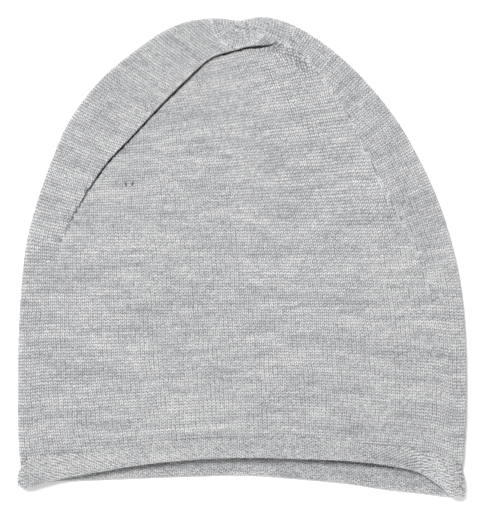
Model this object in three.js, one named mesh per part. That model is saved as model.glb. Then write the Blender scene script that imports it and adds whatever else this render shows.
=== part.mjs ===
// A fine-knit beanie with a rolled edge, lying flat on its back layer.
// Lengths are millimetres. X runs across the hat, Y runs from the open edge up to the crown,
// and Z points up from the table. The origin is on the table, under the middle of the hat.
import * as THREE from 'three';

const { lerp, smoothstep, clamp } = THREE.MathUtils;

// Thicknesses and heights
const WALL = 1.4;
const ROLL_THICKNESS = 4.4;
const EDGE_TOP = 8;
const MIDDLE_TOP = 19;
const GAP = 0.3;

// How much of the middle's rise is left at the open edge, and how steeply the rise begins
const MOUTH_RISE = 0.4;
const SWELL_POWER = 1.5;

// How far the soft slopes reach: in from the side folds, up from the mouth, over the back
// roll, and along the front roll from its two ends
const SLOPE_REACH = 92;
const MOUTH_SLOPE_REACH = 75;
const BACK_STEP_REACH = 13;
const ROLL_END_REACH = 8.8;

// The outer edge, from the left end of the open edge over the crown to the right end
const OUTLINE = [
  { x: -111.2, y: -102.2 },
  { x: -112.1, y: -91 },
  { x: -112.5, y: -66 },
  { x: -111.9, y: -36 },
  { x: -110.4, y: -11.5 },
  { x: -107.9, y: 8.5 },
  { x: -102.6, y: 28.5 },
  { x: -95.5, y: 48.5 },
  { x: -86.5, y: 68.5 },
  { x: -71.4, y: 88.5 },
  { x: -52.4, y: 104.5 },
  { x: -41, y: 112.4 },
  { x: -30.5, y: 117.2 },
  { x: -19, y: 119.7 },
  { x: -9, y: 119.5 },
  { x: -2.5, y: 118.6 },
  { x: 3.5, y: 119.6 },
  { x: 10, y: 120.5 },
  { x: 19, y: 118.8 },
  { x: 29, y: 114.6 },
  { x: 44, y: 104.8 },
  { x: 61.5, y: 88.5 },
  { x: 77.5, y: 68.5 },
  { x: 89, y: 48.5 },
  { x: 98, y: 28.5 },
  { x: 104.5, y: 8.5 },
  { x: 109, y: -11.5 },
  { x: 111.5, y: -33 },
  { x: 112.5, y: -62 },
  { x: 112, y: -88 },
  { x: 110.4, y: -103.7 },
];

// The crease where the upper left flap is folded over the main panel, and how far it lifts
const CREASE = [
  { x: -106, y: -13, lift: 0 },
  { x: -99.5, y: -5.5, lift: 0 },
  { x: -92, y: 5, lift: 0.3 },
  { x: -82, y: 24.5, lift: 1.6 },
  { x: -68, y: 46, lift: 3 },
  { x: -54, y: 61, lift: 3.8 },
  { x: -41, y: 75, lift: 4.2 },
  { x: -27.5, y: 88.5, lift: 4.2 },
  { x: -15.5, y: 99, lift: 3.8 },
  { x: -4.5, y: 102.8, lift: 3 },
  { x: 7.5, y: 105.5, lift: 1.8 },
  { x: 19.5, y: 105.5, lift: 0.4 },
  { x: 36, y: 97.5, lift: 0 },
  { x: 58, y: 85, lift: 0 },
];

// The fold's section: distance across the crease where the fold is full and where it has
// faded (towards the flap is positive), and height as a share of the crease's lift
const FOLD_SECTION = [
  { full: -5.5, faded: -5.4, height: -0.04 },
  { full: -1.8, faded: -3.6, height: -0.12 },
  { full: -0.5, faded: -1.8, height: 0.1 },
  { full: -0.3, faded: 0, height: 0.55 },
  { full: 0.5, faded: 1.8, height: 0.9 },
  { full: 2.2, faded: 3.6, height: 1.03 },
  { full: 5.5, faded: 5.4, height: 1 },
];
const FULL_FOLD_LIFT = 2.6;
const FLAP_FALL = 1.3;
const PANEL_DIP_POWER = 4;
const FOLD_ROOM = 13;
const FOLD_NARROWEST = 0.2;
const FOLD_END_SHARE = 0.08;

// Where the grid of the front layer turns its upper corners, as points near the outline
const LEFT_SHOULDER = { x: -107.9, y: 8.5 };
const RIGHT_SHOULDER = { x: 40, y: 107.5 };

// The open edge, a row for each section across the hat: the rolled band's upper and lower
// edge on the front layer, and on the back layer, which lies lower
const OPEN_EDGE = [
  { x: -106.5, frontTop: -102.5, frontBottom: -115.4, backTop: -102.5, backBottom: -115.4 },
  { x: -97, frontTop: -100, frontBottom: -112.5, backTop: -103.4, backBottom: -113.2 },
  { x: -85, frontTop: -99.3, frontBottom: -109.7, backTop: -103, backBottom: -112.3 },
  { x: -73, frontTop: -98.2, frontBottom: -107.5, backTop: -102.4, backBottom: -111.8 },
  { x: -57.5, frontTop: -96, frontBottom: -104.6, backTop: -101.8, backBottom: -111.2 },
  { x: -25.5, frontTop: -92, frontBottom: -101, backTop: -100.6, backBottom: -110 },
  { x: 3, frontTop: -90.5, frontBottom: -99.8, backTop: -100.1, backBottom: -109.6 },
  { x: 30.5, frontTop: -91, frontBottom: -100.5, backTop: -101.8, backBottom: -111.6 },
  { x: 54.5, frontTop: -93.4, frontBottom: -101.7, backTop: -104.2, backBottom: -114 },
  { x: 74, frontTop: -95.7, frontBottom: -104.2, backTop: -106, backBottom: -117 },
  { x: 90, frontTop: -97.9, frontBottom: -108.5, backTop: -106, backBottom: -118.7 },
  { x: 98, frontTop: -100, frontBottom: -114, backTop: -105, backBottom: -119.8 },
  { x: 105, frontTop: -104, frontBottom: -120.4, backTop: -104, backBottom: -120.4 },
];
const ROLL_LEFT_END = -112.2;
const ROLL_RIGHT_END = 111;
const ROLL_ROUNDNESS = 2.4;

// The soft crease that runs down the upper right of the front layer
const SOFT_CREASE = {
  from: { x: 20, y: 90 },
  to: { x: 54, y: 34 },
  depth: 1.3,
  halfWidth: 5,
};

// How finely each stretch is divided
const COLUMNS = 44;
const PANEL_ROWS = 20;
const FLAP_ROWS = 5;
const SIDE_FOLD_STEPS = 4;
const BACK_STEP_ROWS = 3;
const ROLL_FRONT_STEPS = 32;
const ROLL_BACK_STEPS = 24;
const ROLL_END_STEPS = 6;
const ROLL_SECTION_STEPS = 12;
const OUTLINE_SAMPLES = 240;

const WOOL = { color: 0xb9babd, roughness: 0.95, metalness: 0 };

const UP = new THREE.Vector3(0, 0, 1);
const DOWN = new THREE.Vector3(0, 0, -1);

function curveThrough(rows, height = () => 0) {
  const points = rows.map((row) => new THREE.Vector3(row.x, row.y, height(row)));
  return new THREE.CatmullRomCurve3(points, false, 'centripetal');
}

const outline = curveThrough(OUTLINE);
const crease = curveThrough(CREASE, (row) => row.lift);
const outlineLength = outline.getLength();

// A column of OPEN_EDGE at any x, smooth between its rows
function openEdgeAt(x, column) {
  const last = OPEN_EDGE.length - 1;
  let i = 0;
  while (i < last - 1 && x > OPEN_EDGE[i + 1].x) i += 1;
  const value = (k) => OPEN_EDGE[clamp(k, 0, last)][column];
  const place = (k) => OPEN_EDGE[clamp(k, 0, last)].x;
  const span = place(i + 1) - place(i);
  const u = clamp((x - place(i)) / span, 0, 1);
  const slope = (k) => {
    const run = place(k + 1) - place(k - 1);
    return (value(k + 1) - value(k - 1)) / run;
  };
  const startPull = slope(i) * span;
  const endPull = slope(i + 1) * span;
  const u2 = u * u;
  const u3 = u2 * u;
  return (
    (2 * u3 - 3 * u2 + 1) * value(i) +
    (u3 - 2 * u2 + u) * startPull +
    (3 * u2 - 2 * u3) * value(i + 1) +
    (u3 - u2) * endPull
  );
}

const frontHem = (x) => openEdgeAt(x, 'frontTop') + GAP;
const backHem = (x) => openEdgeAt(x, 'backTop') + GAP;

// The back layer lies on the table, and near the open edge it steps up over its own roll
function backHeight(x, y) {
  const step = ROLL_THICKNESS - WALL;
  return step * (1 - smoothstep(y - backHem(x), 0, BACK_STEP_REACH));
}

// The way that the round side fold faces: angle 0 is its top, where the front layer begins,
// and half a turn is its foot, where the back layer begins
function sideFoldFacing(fraction, angle) {
  const along = outline.getTangentAt(fraction);
  const outward = new THREE.Vector3(-along.y, along.x, 0).normalize();
  return outward.multiplyScalar(Math.sin(angle)).setZ(Math.cos(angle));
}

function sideFoldPoint(fraction, angle) {
  const edge = outline.getPointAt(fraction);
  const foot = backHeight(edge.x, edge.y);
  const radius = (EDGE_TOP - foot) / 2;
  return new THREE.Vector3(edge.x, edge.y, foot + radius)
    .addScaledVector(sideFoldFacing(fraction, Math.PI / 2), -radius)
    .addScaledVector(sideFoldFacing(fraction, angle), radius);
}

const frontBoundary = (fraction) => sideFoldPoint(fraction, 0);

function nearestFraction(target) {
  let best = 0;
  let bestDistance = Infinity;
  for (let k = 0; k <= OUTLINE_SAMPLES; k += 1) {
    const point = outline.getPointAt(k / OUTLINE_SAMPLES);
    const distance = Math.hypot(point.x - target.x, point.y - target.y);
    if (distance < bestDistance) {
      bestDistance = distance;
      best = k / OUTLINE_SAMPLES;
    }
  }
  return best;
}

const leftShoulderAt = nearestFraction(LEFT_SHOULDER);
const rightShoulderAt = nearestFraction(RIGHT_SHOULDER);
const creaseLeftAt = nearestFraction(CREASE[0]);
const creaseRightAt = nearestFraction(CREASE[CREASE.length - 1]);

const boundarySamples = Array.from(
  { length: OUTLINE_SAMPLES + 1 },
  (_, k) => frontBoundary(k / OUTLINE_SAMPLES),
);

function distanceToSegment(x, y, a, b) {
  const dx = b.x - a.x;
  const dy = b.y - a.y;
  const u = clamp(((x - a.x) * dx + (y - a.y) * dy) / (dx * dx + dy * dy), 0, 1);
  return Math.hypot(x - a.x - u * dx, y - a.y - u * dy);
}

// How far a point of the front layer lies in from the side fold
function edgeDistance(x, y) {
  let nearest = Infinity;
  for (let k = 0; k < OUTLINE_SAMPLES; k += 1) {
    const distance = distanceToSegment(x, y, boundarySamples[k], boundarySamples[k + 1]);
    nearest = Math.min(nearest, distance);
  }
  return nearest;
}

function softCreaseDepth(x, y) {
  const away = distanceToSegment(x, y, SOFT_CREASE.from, SOFT_CREASE.to);
  return SOFT_CREASE.depth * Math.exp(-((away / SOFT_CREASE.halfWidth) ** 2));
}

// The outer face of the front layer, without the folded flap
function frontHeight(x, y) {
  const inward = Math.min(edgeDistance(x, y) / SLOPE_REACH, 1);
  const swell = Math.sin((inward * Math.PI) / 2) ** SWELL_POWER;
  const aboveMouth = smoothstep(y - frontHem(x), 0, MOUTH_SLOPE_REACH);
  const rise = lerp(MOUTH_RISE, 1, aboveMouth);
  const top = EDGE_TOP + (MIDDLE_TOP - EDGE_TOP) * swell * rise;
  return top - softCreaseDepth(x, y);
}

// A grid between two curves and two sides that meet at its corners
function patchPoint(low, high, left, right, s, v) {
  const corner = (side, end) => side(end).clone();
  const between = low(s).clone().lerp(high(s), v);
  const leftPull = left(v).clone().sub(corner(left, 0).lerp(corner(left, 1), v));
  const rightPull = right(v).clone().sub(corner(right, 0).lerp(corner(right, 1), v));
  return between.addScaledVector(leftPull, 1 - s).addScaledVector(rightPull, s);
}

const leftHemX = frontBoundary(0).x;
const rightHemX = frontBoundary(1).x;

function hemCurve(s) {
  if (s === 0) return frontBoundary(0);
  if (s === 1) return frontBoundary(1);
  const x = lerp(leftHemX, rightHemX, s);
  return new THREE.Vector3(x, frontHem(x), 0);
}

// A line of the fold's section, which ends on the side folds
function foldCurve({ full, faded }) {
  return (s) => {
    const middle = crease.getPointAt(s);
    const along = crease.getTangentAt(s);
    const towardsFlap = new THREE.Vector3(-along.y, along.x, 0).normalize();
    const room = clamp(edgeDistance(middle.x, middle.y) / FOLD_ROOM, FOLD_NARROWEST, 1);
    const across = lerp(faded, full, smoothstep(middle.z, 0, FULL_FOLD_LIFT));
    const inside = middle.clone().addScaledVector(towardsFlap, across * room);
    const ends = foldEnds(faded);
    const leftShift = frontBoundary(ends.left).sub(crease.getPointAt(0)).add(middle);
    const rightShift = frontBoundary(ends.right).sub(crease.getPointAt(1)).add(middle);
    const point = leftShift.lerp(inside, smoothstep(s, 0, FOLD_END_SHARE));
    return rightShift.lerp(point, smoothstep(1 - s, 0, FOLD_END_SHARE)).setZ(0);
  };
}

// Where a line of the fold ends on the outline
function foldEnds(across) {
  return {
    left: creaseLeftAt + across / outlineLength,
    right: creaseRightAt - across / outlineLength,
  };
}

const foldFoot = FOLD_SECTION[0];
const foldTop = FOLD_SECTION[FOLD_SECTION.length - 1];

function panelPoint(s, v) {
  const ends = foldEnds(foldFoot.faded);
  const left = (u) => frontBoundary(ends.left * u);
  const right = (u) => frontBoundary(lerp(1, ends.right, u));
  return patchPoint(hemCurve, foldCurve(foldFoot), left, right, s, v);
}

function flapPoint(s, v) {
  const ends = foldEnds(foldTop.faded);
  const crown = (u) => frontBoundary(lerp(leftShoulderAt, rightShoulderAt, u));
  const left = (u) => frontBoundary(lerp(ends.left, leftShoulderAt, u));
  const right = (u) => frontBoundary(lerp(ends.right, rightShoulderAt, u));
  return patchPoint(foldCurve(foldTop), crown, left, right, s, v);
}

// The rows of the front layer from the open edge to the crown. Each row gives its line
// across the hat, its share of the crease's lift, and where its ends lie on the outline.
function frontRows() {
  const rows = [];
  const footEnds = foldEnds(foldFoot.faded);
  const topEnds = foldEnds(foldTop.faded);
  for (let i = 0; i < PANEL_ROWS; i += 1) {
    const v = i / PANEL_ROWS;
    rows.push({
      line: (s) => panelPoint(s, v),
      height: foldFoot.height * v ** PANEL_DIP_POWER,
      left: footEnds.left * v,
      right: lerp(1, footEnds.right, v),
    });
  }
  for (const section of FOLD_SECTION) {
    const line = foldCurve(section);
    rows.push({ line, height: section.height, ...foldEnds(section.faded) });
  }
  for (let i = 1; i <= FLAP_ROWS; i += 1) {
    const v = i / FLAP_ROWS;
    rows.push({
      line: (s) => flapPoint(s, v),
      height: (1 - v) ** FLAP_FALL,
      left: lerp(topEnds.left, leftShoulderAt, v),
      right: lerp(topEnds.right, rightShoulderAt, v),
    });
  }
  return rows;
}

class Surface {
  constructor() {
    this.points = [];
    this.facings = [];
    this.triangles = [];
  }

  // Adds a point, with the way that the surface faces there where it is known
  add(point, facing = null) {
    this.points.push(point);
    this.facings.push(facing);
    return this.points.length - 1;
  }

  triangle(a, b, c) {
    this.triangles.push([a, b, c]);
  }

  quad(a, b, c, d) {
    this.triangle(a, b, c);
    this.triangle(a, c, d);
  }

  toGeometry() {
    const geometry = new THREE.BufferGeometry();
    const numbers = this.points.flatMap((point) => point.toArray());
    geometry.setAttribute('position', new THREE.Float32BufferAttribute(numbers, 3));
    geometry.setIndex(this.triangles.flat());
    geometry.computeVertexNormals();
    return geometry;
  }
}

function addFrontLayer(surface, rows) {
  const grid = rows.map((row, i) => {
    const indices = [];
    for (let j = 0; j <= COLUMNS; j += 1) {
      const s = j / COLUMNS;
      const onEdge = j === 0 || j === COLUMNS || i === rows.length - 1;
      const point = row.line(s);
      if (j === 0) point.copy(frontBoundary(row.left));
      if (j === COLUMNS) point.copy(frontBoundary(row.right));
      const lift = onEdge ? 0 : row.height * crease.getPointAt(s).z;
      const height = onEdge ? EDGE_TOP : frontHeight(point.x, point.y) + lift;
      indices.push(surface.add(point.setZ(height), onEdge ? UP : null));
    }
    return indices;
  });
  for (let i = 0; i + 1 < grid.length; i += 1) {
    for (let j = 0; j < COLUMNS; j += 1) {
      surface.quad(grid[i][j], grid[i][j + 1], grid[i + 1][j + 1], grid[i + 1][j]);
    }
  }
  return grid;
}

// The places of the front layer's boundary on the outline, from the left end of the open
// edge over the crown to the right end
function boundaryFractions(rows) {
  const up = rows.map((row) => row.left);
  const down = rows.map((row) => row.right).reverse();
  const across = [];
  for (let j = 1; j < COLUMNS; j += 1) {
    across.push(lerp(leftShoulderAt, rightShoulderAt, j / COLUMNS));
  }
  return [...up, ...across, ...down];
}

function boundaryIndices(grid) {
  const top = grid[grid.length - 1];
  const up = grid.map((row) => row[0]);
  const down = grid.map((row) => row[COLUMNS]).reverse();
  return [...up, ...top.slice(1, COLUMNS), ...down];
}

function addSideFold(surface, fractions, frontEdge) {
  let upper = frontEdge;
  for (let k = 1; k <= SIDE_FOLD_STEPS; k += 1) {
    const angle = (k / SIDE_FOLD_STEPS) * Math.PI;
    const lower = fractions.map((fraction) =>
      surface.add(sideFoldPoint(fraction, angle), sideFoldFacing(fraction, angle)),
    );
    for (let b = 0; b + 1 < lower.length; b += 1) {
      surface.quad(upper[b], upper[b + 1], lower[b + 1], lower[b]);
    }
    upper = lower;
  }
  return upper;
}

// The back layer: a few rows step down from the open edge, and the rest is one flat region
function addBackLayer(surface, edge) {
  const last = edge.length - 1;
  const pointOf = (index) => surface.points[index];
  const left = pointOf(edge[0]);
  const right = pointOf(edge[last]);
  const stepTop = [pointOf(edge[BACK_STEP_ROWS]), pointOf(edge[last - BACK_STEP_ROWS])];
  const [leftStep, rightStep] = stepTop.map((point) => point.y - backHem(point.x));
  const stepPoint = (j, share) => {
    const x = lerp(left.x, right.x, j / COLUMNS);
    const step = lerp(leftStep, rightStep, j / COLUMNS);
    return new THREE.Vector3(x, backHem(x) + step * share, 0);
  };
  const grid = [];
  for (let i = 0; i <= BACK_STEP_ROWS; i += 1) {
    const row = [edge[i]];
    for (let j = 1; j < COLUMNS; j += 1) {
      const point = stepPoint(j, i / BACK_STEP_ROWS);
      const flat = i === BACK_STEP_ROWS;
      point.setZ(flat ? 0 : backHeight(point.x, point.y));
      row.push(surface.add(point, flat ? DOWN : null));
    }
    row.push(edge[last - i]);
    grid.push(row);
  }
  for (let i = 0; i < BACK_STEP_ROWS; i += 1) {
    for (let j = 0; j < COLUMNS; j += 1) {
      surface.quad(grid[i][j], grid[i + 1][j], grid[i + 1][j + 1], grid[i][j + 1]);
    }
  }
  const rim = edge.slice(BACK_STEP_ROWS, last - BACK_STEP_ROWS + 1);
  const cut = grid[BACK_STEP_ROWS].slice(1, COLUMNS).reverse();
  const loop = [...rim, ...cut];
  const flat = loop.map((index) => new THREE.Vector2(pointOf(index).x, pointOf(index).y));
  for (const [a, b, c] of THREE.ShapeUtils.triangulateShape(flat, [])) {
    const turn = THREE.ShapeUtils.area([flat[a], flat[b], flat[c]]);
    if (turn > 0) surface.triangle(loop[a], loop[c], loop[b]);
    else surface.triangle(loop[a], loop[b], loop[c]);
  }
}

// Gives the outer face its thickness: a copy set in by the wall, joined round the opening
function thicken(surface, wall) {
  const normals = surface.toGeometry().getAttribute('normal');
  const outerCount = surface.points.length;
  const outerTriangles = [...surface.triangles];
  for (let k = 0; k < outerCount; k += 1) {
    const found = new THREE.Vector3().fromBufferAttribute(normals, k);
    const facing = surface.facings[k] ?? found;
    surface.add(surface.points[k].clone().addScaledVector(facing, -wall));
  }
  const edges = new Map();
  for (const [a, b, c] of outerTriangles) {
    surface.triangle(a + outerCount, c + outerCount, b + outerCount);
    for (const [from, to] of [[a, b], [b, c], [c, a]]) {
      if (!edges.delete(`${to},${from}`)) edges.set(`${from},${to}`, [from, to]);
    }
  }
  for (const [from, to] of edges.values()) {
    surface.quad(to, from, from + outerCount, to + outerCount);
  }
}

function buildBody() {
  const surface = new Surface();
  const rows = frontRows();
  const grid = addFrontLayer(surface, rows);
  const backEdge = addSideFold(surface, boundaryFractions(rows), boundaryIndices(grid));
  addBackLayer(surface, backEdge);
  thicken(surface, WALL);
  return surface.toGeometry();
}

// The places along the middle of the roll: over the front, round the right end, back
// under the back layer and round the left end
function rollStations() {
  const half = ROLL_THICKNESS / 2;
  const backMiddle = half;
  const endFrontMiddle = EDGE_TOP - WALL + half;
  const turn = (endFrontMiddle - backMiddle) / 2;
  const leftX = ROLL_LEFT_END + half + turn;
  const rightX = ROLL_RIGHT_END - half - turn;
  const station = (x, z, alongX, alongZ, front) => {
    const top = lerp(openEdgeAt(x, 'backTop'), openEdgeAt(x, 'frontTop'), front);
    const bottom = lerp(openEdgeAt(x, 'backBottom'), openEdgeAt(x, 'frontBottom'), front);
    return { x, z, y: (top + bottom) / 2, halfWidth: (top - bottom) / 2, alongX, alongZ };
  };
  const stations = [];
  const frontMiddle = (x) => {
    const rise = frontHeight(x, frontHem(x)) - EDGE_TOP;
    const fromEnd = Math.min(x - leftX, rightX - x);
    return endFrontMiddle + rise * smoothstep(fromEnd, 0, ROLL_END_REACH);
  };
  for (let i = 0; i < ROLL_FRONT_STEPS; i += 1) {
    const x = lerp(leftX, rightX, i / ROLL_FRONT_STEPS);
    const step = (rightX - leftX) / ROLL_FRONT_STEPS;
    const climb = i === 0 ? 0 : (frontMiddle(x + step) - frontMiddle(x - step)) / (2 * step);
    stations.push(station(x, frontMiddle(x), 1, climb, 1));
  }
  const turnMiddle = backMiddle + turn;
  for (let i = 0; i < ROLL_END_STEPS; i += 1) {
    const angle = (i / ROLL_END_STEPS) * Math.PI;
    const x = rightX + turn * Math.sin(angle);
    const z = turnMiddle + turn * Math.cos(angle);
    const front = (1 + Math.cos(angle)) / 2;
    stations.push(station(x, z, Math.cos(angle), -Math.sin(angle), front));
  }
  for (let i = 0; i < ROLL_BACK_STEPS; i += 1) {
    const x = lerp(rightX, leftX, i / ROLL_BACK_STEPS);
    stations.push(station(x, backMiddle, -1, 0, 0));
  }
  for (let i = 0; i < ROLL_END_STEPS; i += 1) {
    const angle = (i / ROLL_END_STEPS) * Math.PI;
    const x = leftX - turn * Math.sin(angle);
    const z = turnMiddle - turn * Math.cos(angle);
    const front = (1 - Math.cos(angle)) / 2;
    stations.push(station(x, z, -Math.cos(angle), Math.sin(angle), front));
  }
  return stations;
}

// The ring is modelled from the height of the open edge's left end
const MOUTH_LINE = OPEN_EDGE[0].backTop;

function buildBrim() {
  const surface = new Surface();
  const half = ROLL_THICKNESS / 2;
  const bend = (value) => Math.sign(value) * Math.abs(value) ** (2 / ROLL_ROUNDNESS);
  const rings = rollStations().map((station) => {
    const along = new THREE.Vector3(station.alongX, 0, station.alongZ).normalize();
    const across = new THREE.Vector3(0, 1, 0);
    const outward = new THREE.Vector3().crossVectors(along, across);
    const middle = new THREE.Vector3(station.x, station.y - MOUTH_LINE, station.z);
    const ring = [];
    for (let k = 0; k < ROLL_SECTION_STEPS; k += 1) {
      const angle = (k / ROLL_SECTION_STEPS) * 2 * Math.PI;
      const point = middle
        .clone()
        .addScaledVector(across, station.halfWidth * bend(Math.cos(angle)))
        .addScaledVector(outward, half * bend(Math.sin(angle)));
      ring.push(surface.add(point));
    }
    return ring;
  });
  rings.forEach((ring, i) => {
    const next = rings[(i + 1) % rings.length];
    for (let k = 0; k < ROLL_SECTION_STEPS; k += 1) {
      const m = (k + 1) % ROLL_SECTION_STEPS;
      surface.quad(ring[k], ring[m], next[m], next[k]);
    }
  });
  return surface.toGeometry();
}

const body = new THREE.Mesh(buildBody(), new THREE.MeshStandardMaterial(WOOL));
body.name = 'crown_body';

const brim = new THREE.Mesh(buildBrim(), new THREE.MeshStandardMaterial(WOOL));
brim.name = 'rolled_brim';
brim.position.y = MOUTH_LINE;

const group = new THREE.Group();
group.add(body, brim);

export default group;
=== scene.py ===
# %% [markdown]
# # A knitted hat with a rolled edge
#
# The hat is a fine-knit tube in light heather grey wool. It closes at the crown, and its open
# edge curls outwards by itself, so that the roll shows the cloth's purl side. It lies flat on
# its back layer, with its upper left folded over along a long crease.
#
# The CAD frame holds the hat's true form as two plain solids. This script makes the cloth
# again as one fine shell in the same place, and then knits it: every stitch of the outside,
# and the purl bumps that show at the edge, are small meshes that follow the cloth.

import bmesh
import bpy
import numpy as np
from mathutils import Euler, Matrix, Vector


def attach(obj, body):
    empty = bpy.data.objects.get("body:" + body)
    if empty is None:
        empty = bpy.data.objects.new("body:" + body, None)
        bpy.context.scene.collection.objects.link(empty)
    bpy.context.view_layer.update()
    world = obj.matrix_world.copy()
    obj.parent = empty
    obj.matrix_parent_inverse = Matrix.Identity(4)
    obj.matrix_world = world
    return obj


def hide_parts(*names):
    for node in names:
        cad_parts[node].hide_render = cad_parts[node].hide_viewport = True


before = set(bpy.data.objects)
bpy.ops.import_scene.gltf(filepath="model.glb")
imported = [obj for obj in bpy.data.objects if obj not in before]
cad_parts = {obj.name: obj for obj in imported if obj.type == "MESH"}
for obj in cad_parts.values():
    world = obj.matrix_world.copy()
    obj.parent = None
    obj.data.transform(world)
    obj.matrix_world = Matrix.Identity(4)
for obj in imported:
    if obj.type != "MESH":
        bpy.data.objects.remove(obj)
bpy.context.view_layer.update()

MM = 0.001

# %% [markdown]
# ## Camera, light and floor
#
# The photo was taken from straight above, with soft light all round and a little more of it
# from the upper left. The camera is a long lens far away, so the hat's height hardly shows.
# An orthographic camera would show no height at all, where a real photo shows a little. The
# light is a pale world with two big soft lamps, and the floor is a plain pale sheet.

# %% Camera
PHOTO_SIZE = (488, 511)
PHOTO_PIXEL = 0.5 * MM
LENS_MM = 150
SENSOR_MM = 36
VIEW_CENTRE = (1.0 * MM, 0.75 * MM)
TRUE_SCALE_HEIGHT = 6 * MM


def new_object(name, data):
    """Links a mesh, a lamp or a camera as an object at the origin."""
    thing = bpy.data.objects.new(name, data)
    bpy.context.scene.collection.objects.link(thing)
    return thing


camera_data = bpy.data.cameras.new("camera")
camera_data.lens = LENS_MM
camera_data.sensor_width = SENSOR_MM
camera_distance = max(PHOTO_SIZE) * PHOTO_PIXEL * LENS_MM / SENSOR_MM
camera = new_object("camera", camera_data)
camera.location = (*VIEW_CENTRE, TRUE_SCALE_HEIGHT + camera_distance)
bpy.context.scene.camera = camera
bpy.context.scene.view_settings.view_transform = "Standard"
print("camera height in mm", round(camera.location.z / MM))

# %% Lights
WORLD_STRENGTH = 0.6
LAMPS = [
    # name, place, size, watts
    ("key_light", (-0.32, 0.4, 1.4), 0.35, 25.0),
    ("fill_light", (0.35, -1.1, 0.8), 1.0, 5.0),
]


def soft_lamp(name, place, size, watts):
    """A square lamp that faces the hat."""
    data = bpy.data.lights.new(name, "AREA")
    data.size = size
    data.energy = watts
    lamp = new_object(name, data)
    lamp.location = place
    lamp.rotation_euler = (-Vector(place)).to_track_quat("-Z", "Y").to_euler()


for lamp in LAMPS:
    soft_lamp(*lamp)

world = bpy.data.worlds.new("pale_room")
world.use_nodes = True
world.node_tree.nodes["Background"].inputs["Color"].default_value = (1, 1, 1, 1)
world.node_tree.nodes["Background"].inputs["Strength"].default_value = WORLD_STRENGTH
bpy.context.scene.world = world
print("lamps", len(LAMPS))

# %% Floor
FLOOR_HALF = 3.0
FLOOR_COLOUR = (0.96, 0.96, 0.96, 1)
FLOOR_ROUGHNESS = 0.9


def plain_material(name, colour, roughness):
    """A material of one colour."""
    material = bpy.data.materials.new(name)
    material.use_nodes = True
    shader = material.node_tree.nodes["Principled BSDF"]
    shader.inputs["Base Color"].default_value = colour
    shader.inputs["Roughness"].default_value = roughness
    return material


floor_mesh = bpy.data.meshes.new("floor")
floor_corners = [(x * FLOOR_HALF, y * FLOOR_HALF, 0) for x, y in ((-1, -1), (1, -1), (1, 1), (-1, 1))]
floor_mesh.from_pydata(floor_corners, [], [(0, 1, 2, 3)])
floor_mesh.materials.append(plain_material("pale_floor", FLOOR_COLOUR, FLOOR_ROUGHNESS))
floor = new_object("floor", floor_mesh)
print("floor side in metres", 2 * FLOOR_HALF)

# %% [markdown]
# ## The hat's lines
#
# Four short tables give the hat's form, as they do in the CAD frame: its outline, the crease
# of the folded flap, the section across that crease, and the rolled edge. A smooth line runs
# through each table's rows. All the shapes that follow are worked out from these lines.
#
# A cloth simulation could lay a knitted tube flat, but it wouldn't fold and curl in the places
# that the photo shows. So the lines come first, and the cloth is laid on them.

# %% Sizes of the cloth
WALL = 1.4 * MM
ROLL_THICKNESS = 4.4 * MM
EDGE_TOP = 8 * MM
MIDDLE_TOP = 19 * MM
GAP = 0.3 * MM
MOUTH_RISE = 0.4
SWELL_POWER = 1.5
SLOPE_REACH = 92 * MM
MOUTH_SLOPE_REACH = 75 * MM
BACK_STEP_REACH = 13 * MM

# The yarn stands proud of the thin cloth that carries it, on the knit and the purl side
KNIT_PROUD = 0.35 * MM
PURL_PROUD = 0.3 * MM
print("thickness in mm: cloth", round(WALL / MM, 1), "roll", round(ROLL_THICKNESS / MM, 1))

# %% Tables of the hat's lines
# The outer edge: x and y in millimetres, from the left end of the open edge to the right
OUTLINE = [
    (-111.2, -102.2), (-112.1, -91), (-112.5, -66), (-111.9, -36), (-110.4, -11.5),
    (-107.9, 8.5), (-102.6, 28.5), (-95.5, 48.5), (-86.5, 68.5), (-71.4, 88.5),
    (-52.4, 104.5), (-41, 112.4), (-30.5, 117.2), (-19, 119.7), (-9, 119.5),
    (-2.5, 118.6), (3.5, 119.6), (10, 120.5), (19, 118.8), (29, 114.6),
    (44, 104.8), (61.5, 88.5), (77.5, 68.5), (89, 48.5), (98, 28.5),
    (104.5, 8.5), (109, -11.5), (111.5, -33), (112.5, -62), (112, -88),
    (110.4, -103.7),
]

# The crease: x, y and how far the flap lifts there in millimetres, and how wide its groove is
CREASE = [
    (-106, -13, 0, 1), (-99.5, -5.5, 0, 1), (-92, 5, 0.3, 0.8), (-82, 24.5, 1.6, 0.5),
    (-68, 46, 3, 0.4), (-54, 61, 3.8, 0.5), (-41, 75, 4.2, 0.36), (-27.5, 88.5, 4.2, 0.62),
    (-15.5, 99, 4, 0.18), (-4.5, 102.8, 3.8, 0.55), (7.5, 105.5, 3.4, 0.8),
    (19.5, 105.5, 0.8, 1), (36, 97.5, 0, 1), (58, 85, 0, 1),
]

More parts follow.
